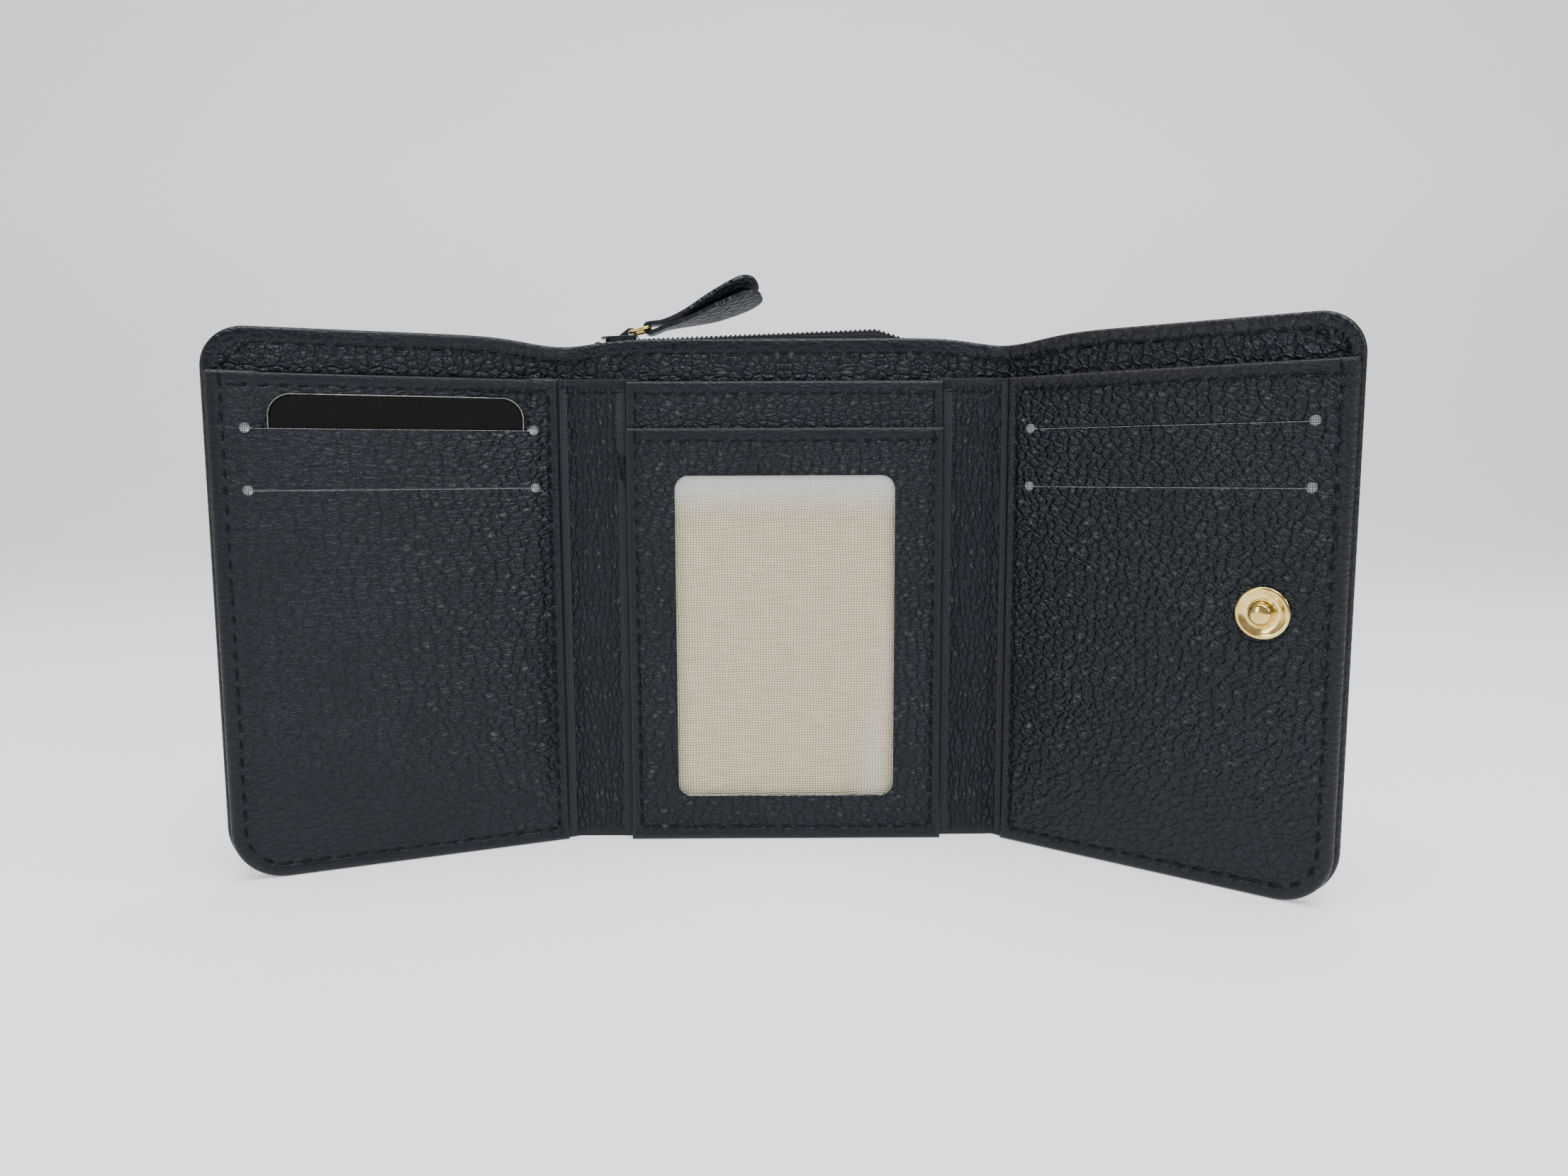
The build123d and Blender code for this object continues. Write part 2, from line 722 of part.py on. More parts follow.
def zip_slider():
    """Slider: two plates joined by a thin divider, with rims over the tapes and a bail on top."""
    half_x, half_y = slider_half_length, slider_half_width
    with BuildPart() as slider:
        with BuildSketch(slider_frame(0.85)):
            SlotOverall(2 * half_x, 2 * half_y)
            with Locations((half_x / 2, 0)):
                RectangleRounded(half_x, 2 * half_y, 1.0)
        extrude(amount=0.9)
        fillet(slider.faces().sort_by(Axis.Z)[-1].edges(), 0.5)
        with BuildSketch(slider_frame(0.35)):
            with Locations((0.8, half_y - 0.3), (0.8, -half_y + 0.3)):
                Rectangle(2 * half_x - 3.4, 0.6)
        extrude(amount=0.7)
        with BuildSketch(slider_frame(-1.5)):
            SlotOverall(2 * half_x, 2 * half_y)
            with Locations((half_x / 2, 0)):
                RectangleRounded(half_x, 2 * half_y, 1.0)
        extrude(amount=0.6)
        with BuildSketch(slider_frame(-1.2)):
            with Locations((-half_x + 2.2, 0)):
                Rectangle(2.2, 0.6)
        extrude(amount=2.4)
        bail = slider_frame().rotated((90, 0, 0))
        with BuildSketch(bail):
            with BuildLine():
                Polyline((-0.6, 1.5), (1.4, 3.0), (2.2, 3.6), (3.5, 3.6), (4.1, 3.0), (4.1, 1.5), close=True)
            make_face()
            with Locations(ring_pivot):
                Circle(ring_wire + 0.22, mode=Mode.SUBTRACT)
        extrude(amount=0.9, both=True)
    export(slider, "zip_slider")


def pull_frame():
    """Plane of the pull at rest: its origin on the ring's pivot, X out along the tab, Z square to it."""
    pivot = slider_frame().from_local_coords((ring_pivot[0], 0, ring_pivot[1]))
    lift = radians(ring_lift)
    return Plane(origin=pivot, x_dir=(cos(lift), 0, sin(lift)), z_dir=(-sin(lift), 0, cos(lift)))


def pull_ring():
    """Wire ring that joins the leather tab to the slider's bail."""
    frame = pull_frame()
    half = ring_width / 2
    with BuildPart() as ring:
        with BuildLine(frame) as path:
            corners = (0, -half), (0, half), (ring_length, half), (ring_length, -half)
            FilletPolyline(*corners, radius=1.2, close=True)
        start = path.line.edges()[0]
        with BuildSketch(Plane(origin=start @ 0, z_dir=start % 0)):
            Circle(ring_wire)
        sweep(path=path.line)
    export(ring, "pull_ring")


def pull_tab():
    """Leather tab: a strip folded round the ring's bar, with two paddle-shaped leaves."""
    frame = pull_frame()
    bar = frame.from_local_coords((ring_length, 0, 0))
    inner = ring_wire + 0.12
    outer = inner + tab_thickness
    with BuildPart() as tab:
        edge_on = Plane(origin=bar, x_dir=frame.x_dir, z_dir=frame.x_dir.cross(frame.z_dir))
        with BuildSketch(edge_on):
            Circle(outer)
            Circle(inner, mode=Mode.SUBTRACT)
            with Locations((outer, 0)):
                Rectangle(2 * outer - 0.6, 2 * outer, mode=Mode.SUBTRACT)
        extrude(amount=tab_neck / 2, both=True)
        for name, lift in leaf_lifts.items():
            leaf = Plane(bar, x_dir=frame.x_dir, z_dir=frame.z_dir).rotated((0, -lift, 0))
            low = inner if name == "upper" else -outer
            with BuildSketch(leaf.offset(low)):
                with BuildLine():
                    edge = Spline(
                        (0, tab_neck / 2),
                        (0.35 * tab_length, tab_neck / 2 + 0.6),
                        (0.75 * tab_length, tab_width / 2),
                        tangents=((1, 0), (1, 0)),
                    )
                    tip = ThreePointArc(edge @ 1, (tab_length, 0), (0.75 * tab_length, -tab_width / 2))
                    back = Spline(
                        tip @ 1,
                        (0.35 * tab_length, -tab_neck / 2 - 0.6),
                        (0, -tab_neck / 2),
                        tangents=((-1, 0), (-1, 0)),
                    )
                    Line(back @ 1, edge @ 0)
                make_face()
            extrude(amount=tab_thickness)
    export(tab, "pull_tab")


def main():
    """Builds every piece of the wallet."""
    os.makedirs("parts", exist_ok=True)
    for section in ("centre", "left_fold", "right_fold"):
        flat_shell(section)
        flat_facing(section)
        flat_note_wall(section)
    centre_lining_and_board()
    centre_back_tier()
    window_panel()
    centre_thread()
    for side in (LEFT, RIGHT):
        fold_thread(side)
        wing_shell(side)
        wing_facing(side)
        wing_note_wall(side)
        wing_lining_and_board(side)
        wing_pocket_panel(side)
        wing_thread(side)
    display_card()
    slot_pocket(LEFT, "upper", 20.2, -0.3, -0.05, 0.55)
    slot_pocket(LEFT, "lower", 17.4, -0.3, -0.25, -0.07)
    slot_pocket(RIGHT, "upper", 20.2, 1.3, 1.32, 1.49)
    slot_pocket(RIGHT, "lower", 9.0, 1.3, 1.12, 1.3)
    snap_stud()
    snap_socket()
    snap_rivet(RIGHT, stud_along, leather + 0.29, leather + 1.2, 1, "snap_stud_rivet")
    snap_rivet(LEFT, socket_along, shell_depth - 0.29, leather + 0.4, -1, "snap_socket_rivet")
    coin_pocket()
    zip_chain()
    zip_tape("front")
    zip_tape("rear")
    zip_slider()
    pull_ring()
    pull_tab()


main()
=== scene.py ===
"""Trifold leather wallet, standing open on its bottom edge, dressed over its CAD frame.

Sheets are drawn flat and then folded into place. A flat point is (along, depth, height) in
millimetres: along runs from the middle of the centre section out over a fold strip and its wing,
depth is counted from the front of the centre section towards the back, and height is counted from
the bottom edge.
"""

import json
import logging
import math
from dataclasses import dataclass, field
from enum import Enum
from typing import Callable, Optional, Sequence

import bmesh
import bpy
from mathutils import Matrix, Vector, noise


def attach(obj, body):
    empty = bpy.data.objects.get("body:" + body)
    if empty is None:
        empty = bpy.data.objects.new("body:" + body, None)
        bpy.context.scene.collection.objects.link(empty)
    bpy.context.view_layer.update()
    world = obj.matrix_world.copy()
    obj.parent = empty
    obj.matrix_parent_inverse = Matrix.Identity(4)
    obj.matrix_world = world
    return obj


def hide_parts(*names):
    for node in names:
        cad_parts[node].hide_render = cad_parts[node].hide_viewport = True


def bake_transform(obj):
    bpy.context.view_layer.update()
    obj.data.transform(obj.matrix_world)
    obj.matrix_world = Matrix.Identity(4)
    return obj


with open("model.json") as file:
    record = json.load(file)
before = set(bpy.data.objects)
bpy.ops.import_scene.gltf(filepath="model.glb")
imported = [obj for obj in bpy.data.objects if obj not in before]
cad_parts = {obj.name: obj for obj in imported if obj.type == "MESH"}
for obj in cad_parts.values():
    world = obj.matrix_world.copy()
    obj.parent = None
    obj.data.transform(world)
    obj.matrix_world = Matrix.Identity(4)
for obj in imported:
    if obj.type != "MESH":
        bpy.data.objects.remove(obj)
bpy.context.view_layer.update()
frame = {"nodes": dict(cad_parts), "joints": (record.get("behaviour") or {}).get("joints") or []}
LOG = logging.getLogger("wallet")
MM = 0.001
UV_PER_MM = 0.01
REAR_UV = 5
REAR_SHIFT = REAR_UV / UV_PER_MM
JOINTS = {joint["name"]: joint for joint in frame["joints"]}

Flat = tuple[float, float]
DepthRule = Callable[[float, float], float]
Placing = Callable[[float, float, float], Vector]
Socket = bpy.types.NodeSocket
Node = bpy.types.Node
Tree = bpy.types.NodeTree
Piece = bpy.types.Object
Finish = bpy.types.Material
Finishes = dict[str, Finish]
Shape = bmesh.types.BMesh


class Side(Enum):
    """The two hands of the wallet, seen from its open side."""

    LEFT = -1
    RIGHT = 1

    @property
    def word(self) -> str:
        """Name used in node and body names."""
        return self.name.lower()


def ease(value: float, low: float, high: float) -> float:
    """Goes smoothly from 0 at low to 1 at high.

    Args:
        value: where to read the curve.
        low: value at which the rise starts.
        high: value at which it ends.

    Returns:
        A number from 0 to 1.
    """
    t = min(1.0, max(0.0, (value - low) / (high - low)))
    return t * t * (3 - 2 * t)


def hump(value: float, centre: float, width: float) -> float:
    """A soft bump of height 1 round a centre."""
    return math.exp(-(((value - centre) / width) ** 2))


def ripple(x: float, y: float, seed: float, size: float) -> float:
    """Slow unevenness of a hand-made sheet, from -1 to 1, with waves of the given size."""
    return noise.noise(Vector((x / size, y / size, seed)))


# ---------------------------------------------------------------- finishes


class NodeSheet:
    """Short forms for laying out shader nodes in one node tree."""

    def __init__(self, tree: Tree) -> None:
        """Keeps the tree that the nodes go into."""
        self.tree = tree

    def add(self, kind: str, **settings: object) -> Node:
        """Adds a node.

        Args:
            kind: Blender's identifier of the node.
            settings: properties to set on it.

        Returns:
            The node.
        """
        node = self.tree.nodes.new(kind)
        for key, value in settings.items():
            setattr(node, key, value)
        return node

    def link(self, start: Socket, end: Socket) -> None:
        """Joins two sockets."""
        self.tree.links.new(start, end)

    def feed(self, socket: Socket, value: object) -> None:
        """Links a socket's value from another socket, or sets it to a plain value."""
        if isinstance(value, Socket):
            self.link(value, socket)
        else:
            socket.default_value = value

    def math(self, operation: str, *values: object, clamp: bool = False) -> Socket:
        """A Math node on sockets or numbers; returns its result."""
        node = self.add("ShaderNodeMath", operation=operation, use_clamp=clamp)
        for socket, value in zip(node.inputs, values):
            self.feed(socket, value)
        return node.outputs[0]

    def vector(self, operation: str, *values: object) -> Socket:
        """A Vector Math node on sockets or triples; returns its vector."""
        node = self.add("ShaderNodeVectorMath", operation=operation)
        for socket, value in zip(node.inputs, values):
            self.feed(socket, value)
        return node.outputs[0]

    def scaled(self, vector: Socket, factor: float) -> Socket:
        """A vector times a number."""
        node = self.add("ShaderNodeVectorMath", operation="SCALE")
        self.link(vector, node.inputs[0])
        node.inputs["Scale"].default_value = factor
        return node.outputs[0]

    def mix(self, share: object, first: object, second: object) -> Socket:
        """Mixes two colours; returns the mixed colour."""
        node = self.add("ShaderNodeMix", data_type="RGBA")
        self.feed(node.inputs["Factor"], share)
        self.feed(node.inputs[6], first)
        self.feed(node.inputs[7], second)
        return node.outputs[2]

    def span(self, value: object, low: float, high: float, out: Flat = (0, 1)) -> Socket:
        """Maps low..high to out, with smooth ends; returns the mapped value."""
        node = self.add("ShaderNodeMapRange", interpolation_type="SMOOTHSTEP")
        self.feed(node.inputs["Value"], value)
        node.inputs["From Min"].default_value = low
        node.inputs["From Max"].default_value = high
        node.inputs["To Min"].default_value = out[0]
        node.inputs["To Max"].default_value = out[1]
        return node.outputs["Result"]

    def noise(self, vector: Socket, scale: float, detail: float = 2.0) -> Node:
        """A Noise node; its Fac and Color outputs are used."""
        node = self.add("ShaderNodeTexNoise")
        self.link(vector, node.inputs["Vector"])
        node.inputs["Scale"].default_value = scale
        node.inputs["Detail"].default_value = detail
        return node

    def cells(self, vector: Socket, scale: float, feature: str) -> Node:
        """A Voronoi node in two dimensions."""
        node = self.add("ShaderNodeTexVoronoi", voronoi_dimensions="2D", feature=feature)
        self.link(vector, node.inputs["Vector"])
        node.inputs["Scale"].default_value = scale
        return node


def effect(name: str, inputs: Sequence[tuple], outputs: Sequence[tuple]) -> tuple:
    """Starts a shared node group.

    Args:
        name: the group's name.
        inputs: (name, socket type, default) of each input.
        outputs: (name, socket type) of each output.

    Returns:
        The group, its NodeSheet, its input node and its output node.
    """
    group = bpy.data.node_groups.new(name, "ShaderNodeTree")
    for label, kind, default in inputs:
        socket = group.interface.new_socket(label, in_out="INPUT", socket_type=kind)
        if default is not None:
            socket.default_value = default
    for label, kind in outputs:
        group.interface.new_socket(label, in_out="OUTPUT", socket_type=kind)
    sheet = NodeSheet(group)
    return group, sheet, sheet.add("NodeGroupInput"), sheet.add("NodeGroupOutput")


def leather_grain() -> Tree:
    """Pebbled grain: rounded islands parted by creases, with painted glints (pale flecks standing
    in for highlights) on some of them.
    """
    group, n, source, result = effect(
        "leather_grain",
        [
            ("Place", "NodeSocketVector", None),
            ("Pebbles", "NodeSocketVector", (30.0, 38.0, 1.0)),
            ("Crease", "NodeSocketFloat", 0.3),
        ],
        [
            ("Height", "NodeSocketFloat"),
            ("Tone", "NodeSocketFloat"),
            ("Cloud", "NodeSocketFloat"),
            ("Fleck", "NodeSocketFloat"),
        ],
    )
    at = n.vector("MULTIPLY", source.outputs["Place"], source.outputs["Pebbles"])
    drift = n.vector("SUBTRACT", n.noise(at, 0.9, 2.0).outputs["Color"], (0.5, 0.5, 0.5))
    bent = n.vector("ADD", at, n.scaled(drift, 0.7))
    big = n.cells(bent, 1.0, "DISTANCE_TO_EDGE").outputs["Distance"]
    slope = n.math("SMOOTH_MIN", n.math("DIVIDE", big, source.outputs["Crease"]), 1.0, 0.3)
    plateau = n.math("MULTIPLY", slope, n.math("SUBTRACT", 2.0, slope))
    small = n.span(n.cells(bent, 2.3, "DISTANCE_TO_EDGE").outputs["Distance"], 0.0, 0.22)
    fine = n.noise(bent, 7.0, 3.0).outputs[0]
    height = n.math("ADD", n.math("MULTIPLY", plateau, 0.68), n.math("MULTIPLY", small, 0.2))
    height = n.math("ADD", height, n.math("MULTIPLY", fine, 0.16))
    n.link(height, result.inputs["Height"])
    # Tone is low in the creases: the leather uses it for painted shade there and for roughness
    n.link(n.math("MULTIPLY", plateau, n.span(small, 0, 1, (0.6, 1.0))), result.inputs["Tone"])
    n.link(n.noise(source.outputs["Place"], 4.0, 2.0).outputs[0], result.inputs["Cloud"])
    # painted glints: pale flecks on the crowns of some pebbles, standing in for highlights
    crown = n.span(n.cells(bent, 1.0, "F1").outputs["Distance"], 0.34, 0.12)
    glint_patches = n.span(n.noise(bent, 0.8, 1.0).outputs[0], 0.54, 0.66)
    fleck = n.math("MULTIPLY", n.math("MULTIPLY", crown, glint_patches), n.span(fine, 0.42, 0.6))
    n.link(fleck, result.inputs["Fleck"])
    return group


def cloth_weave() -> Tree:
    """Plain weave: warp and weft threads that pass over each other, with uneven yarn."""
    group, n, source, result = effect(
        "cloth_weave",
        [("Place", "NodeSocketVector", None), ("Threads", "NodeSocketVector", (180.0, 180.0, 1.0))],
        [("Height", "NodeSocketFloat"), ("Yarn", "NodeSocketFloat")],
    )
    raw = n.vector("MULTIPLY", source.outputs["Place"], source.outputs["Threads"])
    wander = n.vector("SUBTRACT", n.noise(raw, 0.12, 2.0).outputs["Color"], (0.5, 0.5, 0.5))
    at = n.vector("ADD", raw, n.scaled(wander, 1.4))
    parts = n.add("ShaderNodeSeparateXYZ")
    n.link(at, parts.inputs[0])
    warp = n.math("ABSOLUTE", n.math("SINE", n.math("MULTIPLY", parts.outputs["X"], math.pi)))
    weft = n.math("ABSOLUTE", n.math("SINE", n.math("MULTIPLY", parts.outputs["Y"], math.pi)))
    whole = n.math("ADD", n.math("FLOOR", parts.outputs["X"]), n.math("FLOOR", parts.outputs["Y"]))
    odd = n.math("ABSOLUTE", n.math("MODULO", whole, 2.0))
    even = n.math("SUBTRACT", 1.0, odd)
    over = n.math("ADD", n.math("MULTIPLY", warp, odd), n.math("MULTIPLY", weft, even))
    low = n.math("MULTIPLY", warp, weft)
    height = n.math("ADD", n.math("MULTIPLY", over, 0.45), n.math("MULTIPLY", low, 0.55))
    n.link(height, result.inputs["Height"])
    streaks = n.vector("MULTIPLY", at, (0.12, 1.0, 1.0))
    n.link(n.noise(streaks, 0.9, 3.0).outputs[0], result.inputs["Yarn"])
    return group


GRAIN = leather_grain()
WEAVE = cloth_weave()


def start_material(name: str, **plain: object) -> tuple:
    """A new material with a Principled shader.

    Args:
        name: the material's name.
        plain: values for the shader's own sockets, with _ for a space.

    Returns:
        The material, its NodeSheet and its shader node.
    """
    material = bpy.data.materials.new(name)
    material.use_nodes = True
    shader = material.node_tree.nodes["Principled BSDF"]
    for key, value in plain.items():
        shader.inputs[key.replace("_", " ")].default_value = value
    return material, NodeSheet(material.node_tree), shader


def dimmed(colour: tuple, share: float) -> tuple:
    """A colour darkened to a share of itself."""
    return tuple(part * share for part in colour[:3]) + (1,)


def bump(n: NodeSheet, shader: Node, height: Socket, depth_mm: float) -> None:
    """Gives the shader a bump of the given depth for heights from 0 to 1."""
    node = n.add("ShaderNodeBump")
    node.inputs["Distance"].default_value = depth_mm * MM
    n.link(height, node.inputs["Height"])
    n.link(node.outputs["Normal"], shader.inputs["Normal"])


@dataclass(frozen=True)
class Leather:
    """Pebbled leather, smoothed where the sheet says so, with painted shade in its creases, painted
    glints on its pebbles, and edges lightened partly by wear and partly by painted sheen.
    """

    name: str
    # colour of the painted shade in the creases between pebbles
    crease: tuple = (0.0007, 0.0012, 0.0024, 1)
    top: tuple = (0.002, 0.0043, 0.0095, 1)
    # colour of the rolled edges: partly wear, partly painted sheen
    rubbed: tuple = (0.016, 0.0145, 0.0135, 1)
    pebbles: tuple = (31.0, 41.0, 1.0)
    # colour of the painted glints on the pebbles
    fleck: tuple = (0.1, 0.088, 0.078, 1)
    crease_width: float = 0.38
    depth: float = 0.34
    rough: Flat = (0.5, 0.36)

    def make(self) -> Finish:
        """Builds the material."""
        material, n, shader = start_material(self.name, Specular_IOR_Level=0.3)
        uv = n.add("ShaderNodeUVMap", uv_map="flat")
        grain = n.add("ShaderNodeGroup", node_tree=GRAIN)
        n.link(uv.outputs[0], grain.inputs["Place"])
        grain.inputs["Pebbles"].default_value = self.pebbles
        grain.inputs["Crease"].default_value = self.crease_width
        keys = ("Height", "Tone", "Cloud", "Fleck")
        height, tone, cloud, fleck = (grain.outputs[key] for key in keys)
        strength = n.add("ShaderNodeAttribute", attribute_name="grain").outputs["Fac"]
        rub = n.add("ShaderNodeAttribute", attribute_name="rub").outputs["Fac"]
        cloudy = n.mix(n.span(cloud, 0.3, 0.7), self.top, dimmed(self.top, 0.75))
        # creases take the darker colour: painted shade between the pebbles
        colour = n.mix(n.span(tone, 0.1, 0.9), self.crease, cloudy)
        # painted glints: pale flecks on pebble crowns, stronger where the grain is strong
        colour = n.mix(n.math("MULTIPLY", fleck, n.span(strength, 0.5, 1.3)), colour, self.fleck)
        # rolled edges lighten: partly edge wear, partly painted sheen where the edges catch light
        patchy = n.math("MULTIPLY", rub, n.span(cloud, 0.25, 0.75, (0.5, 1)))
        n.link(n.mix(patchy, colour, self.rubbed), shader.inputs["Base Color"])
        gloss = n.span(tone, 0.0, 1.0, self.rough)
        gloss = n.math("ADD", gloss, n.span(cloud, 0.3, 0.7, (-0.05, 0.06)))
        n.link(gloss, shader.inputs["Roughness"])
        bump(n, shader, n.math("MULTIPLY", height, strength), self.depth)
        return material


@dataclass(frozen=True)
class Cloth:
    """Woven cloth on a sheet's own flat measure, or on object coordinates, with painted shade
    between the threads.
    """

    name: str
    dark: tuple
    light: tuple
    threads: tuple = (180.0, 180.0, 1.0)
    depth: float = 0.1
    rough: float = 0.9
    on_sheet: bool = False

    def make(self) -> Finish:
        """Builds the material."""
        material, n, shader = start_material(self.name, Roughness=self.rough)
        weave = n.add("ShaderNodeGroup", node_tree=WEAVE)
        weave.inputs["Threads"].default_value = self.threads
        if self.on_sheet:
            place = n.add("ShaderNodeUVMap", uv_map="flat").outputs[0]
        else:
            turn = n.add("ShaderNodeMapping")
            turn.inputs["Rotation"].default_value = (math.radians(90), 0, 0)
            turn.inputs["Scale"].default_value = (10, 10, 10)
            n.link(n.add("ShaderNodeTexCoord").outputs["Object"], turn.inputs["Vector"])
            place = turn.outputs[0]
        n.link(place, weave.inputs["Place"])
        light = n.mix(n.span(weave.outputs["Yarn"], 0.3, 0.7), self.light, dimmed(self.light, 0.8))
        # the weave's low places take the dark colour: painted shade between the threads
        raised = n.span(weave.outputs["Height"], 0.1, 0.75)
        n.link(n.mix(raised, self.dark, light), shader.inputs["Base Color"])
        bump(n, shader, weave.outputs["Height"], self.depth)
        return material


@dataclass(frozen=True)
class Speckled:
    """A plain finish with small unevenness, as on thread, board, gilt, card and cut edges."""

    name: str
    dark: tuple
    light: tuple
    rough: Flat = (0.4, 0.6)
    size: float = 900.0
    depth: float = 0.03
    metallic: float = 0.0
    specular: float = 0.5

    def make(self) -> Finish:
        """Builds the material."""
        material, n, shader = start_material(
            self.name, Metallic=self.metallic, Specular_IOR_Level=self.specular
        )
        spots = n.noise(n.add("ShaderNodeTexCoord").outputs["Object"], self.size, 3.0).outputs[0]
        n.link(n.mix(n.span(spots, 0.3, 0.7), self.dark, self.light), shader.inputs["Base Color"])
        n.link(n.span(spots, 0.3, 0.7, self.rough), shader.inputs["Roughness"])
        bump(n, shader, spots, self.depth)
        return material


@dataclass(frozen=True)
class ClearFilm:
    """Clear flexible film: slight haze along its top and in streaks down it."""

    name: str = "clear_film_sheet"
    tint: tuple = (0.95, 0.97, 1.0, 1)
    haze_from: float = 0.078
    haze_to: float = 0.09

    def make(self) -> Finish:
        """Builds the material."""
        material, n, shader = start_material(self.name, Roughness=0.12, Specular_IOR_Level=0.7)
        shader.inputs["Coat Weight"].default_value = 0.6
        at = n.add("ShaderNodeTexCoord").outputs["Object"]
        split = n.add("ShaderNodeSeparateXYZ")
        n.link(at, split.inputs[0])
        top = n.span(split.outputs["Z"], self.haze_from, self.haze_to, (0.0, 0.3))
        streaks = n.noise(n.vector("MULTIPLY", at, (1.0, 1.0, 0.16)), 75.0, 2.0).outputs[0]
        haze = n.math("ADD", top, n.span(streaks, 0.55, 0.85, (0.02, 0.11)))
        n.link(n.mix(streaks, self.tint, (0.85, 0.87, 0.9, 1)), shader.inputs["Base Color"])
        n.link(haze, shader.inputs["Alpha"])
        return material


def finishes() -> Finishes:
    """Builds every finish of the wallet, by name."""
    leathers = (
        Leather("wing_leather", pebbles=(42.0, 62.0, 1.0), depth=0.5, rough=(0.46, 0.33)),
        Leather("worn_in_leather", pebbles=(36.0, 64.0, 1.0), depth=0.42, rough=(0.5, 0.36)),
        Leather("tier_leather", pebbles=(44.0, 62.0, 1.0), depth=0.42),
        Leather("strip_leather", pebbles=(76.0, 40.0, 1.0), depth=0.28, crease_width=0.32),
        Leather("shell_leather", pebbles=(40.0, 46.0, 1.0), depth=0.56, rough=(0.46, 0.28)),
    )
    soot, coal = (0.006, 0.006, 0.007, 1), (0.012, 0.012, 0.014, 1)
    ochre, cream = (0.32, 0.22, 0.105, 1), (0.97, 0.81, 0.53, 1)
    mesh_dark, mesh_light = (0.05, 0.05, 0.05, 1), (0.5, 0.52, 0.5, 1)
    tape_dark, tape_light = (0.005, 0.005, 0.006, 1), (0.022, 0.022, 0.025, 1)
    cloths = (
        Cloth("cream_weave", ochre, cream, (150, 165, 1), 0.26, on_sheet=True),
        Cloth("pocket_weave", (0.2, 0.2, 0.21, 1), (0.62, 0.62, 0.64, 1)),
        Cloth("slot_weave", mesh_dark, mesh_light, (210, 210, 1), 0.16, on_sheet=True),
        Cloth("lining_weave", soot, (0.03, 0.03, 0.033, 1)),
        Cloth("gusset_weave", soot, (0.024, 0.024, 0.027, 1), on_sheet=True),
        Cloth("tape_weave", tape_dark, tape_light, (220, 140, 1), 0.14),
    )
    dye, thread = (0.0006, 0.0006, 0.0008, 1), (0.003, 0.003, 0.004, 1)
    cut_dark, cut_light = (0.1, 0.1, 0.105, 1), (0.42, 0.42, 0.41, 1)
    tab_dark, tab_light = (0.01, 0.011, 0.01, 1), (0.04, 0.042, 0.037, 1)
    glint_dark, glint_light = (0.02, 0.02, 0.02, 1), (0.5, 0.5, 0.5, 1)
    ink, print_black = (0.0026, 0.002, 0.0018, 1), (0.0046, 0.0036, 0.0032, 1)
    core_dark, core_light = (0.22, 0.21, 0.2, 1), (0.5, 0.48, 0.45, 1)
    board_dark, board_light = (0.2, 0.18, 0.16, 1), (0.4, 0.37, 0.33, 1)
    gilt_dark, gilt_light = (0.66, 0.46, 0.13, 1), (0.86, 0.66, 0.27, 1)
    plain = (
        Speckled("black_thread", dye, thread, (0.35, 0.8), 2600, 0.06, specular=0.2),
        Speckled("nylon_coil", soot, coal, (0.12, 0.2), specular=0.8),
        Speckled("cut_leather_edge", cut_dark, cut_light, (0.7, 0.95), 1500, 0.08),
        Speckled("tab_edge", tab_dark, tab_light, (0.7, 0.9), 2200, 0.06),
        Speckled("window_edge", glint_dark, glint_light, (0.4, 0.8), 1100, 0.05),
        Speckled("card_face", ink, print_black, (0.55, 0.65), 1500, 0.01, specular=0.12),
        Speckled("card_edge", core_dark, core_light, (0.5, 0.7), 900, 0.02),
        Speckled("grey_board", board_dark, board_light, (0.8, 0.95), 700, 0.05),
        Speckled("black_enamel", soot, coal, (0.22, 0.34), 600, 0.01),
        Speckled("pale_gilt", gilt_dark, gilt_light, (0.1, 0.18), 420, 0.012, metallic=1.0),
    )
    kinds = (*leathers, *cloths, *plain, ClearFilm())
    return {kind.name: kind.make() for kind in kinds}


# ---------------------------------------------------------------- layout and sheets


@dataclass(frozen=True)
class Layout:
    """Where the sections lie: a flat centre, two fold strips, and wings turned on their creases."""

    centre_half: float = 37.75
    wing_start: float = 53.75
    wing_width: float = 74.8
    panel_inset: float = 0.8
    height: float = 121.0
    panel_height: float = 111.5
    corner: float = 12.0
    top_corner: float = 9.0
    bend_run: float = 5.2
    strip_middle: float = 45.75
    turn: dict = field(default_factory=lambda: {Side.LEFT: 22.0, Side.RIGHT: 38.0})

    def hinge(self, side: Side) -> Flat:
        """Where a wing's crease is: its distance from the middle, and its depth."""
        x, y, _ = JOINTS[f"{side.word}_wing_fold"]["pos_m"]
        return abs(x) / MM, y / MM

    def place(self, side: Side) -> Placing:
        """The rule that folds a flat point of one side into its place.

        Args:
            side: the hand of the wallet that the point lies on.

        Returns:
            A function from (along, depth, height) in millimetres to a point in metres.
        """
        hinge_x, hinge_y = self.hinge(side)
        full = math.radians(self.turn[side])
        bend = self.wing_start - self.bend_run

        def fold(along: float, depth: float, height: float) -> Vector:
            """Folds one point."""
            angle = full * ease(along, bend, self.wing_start)
            out, back = along - hinge_x, depth - hinge_y
            x = hinge_x + out * math.cos(angle) + back * math.sin(angle)
            y = hinge_y + back * math.cos(angle) - out * math.sin(angle)
            return Vector((side.value * x, y, height)) * MM

        return fold

    def outer(self) -> float:
        """How far out the wings' outer edge is, measured flat."""
        return self.wing_start + self.wing_width


LAYOUT = Layout()


class Rim(Enum):
    """How an edge of a sheet is finished."""

    ROLLED = "turned over and rounded"
    CUT = "cut square, or running on into the next piece"


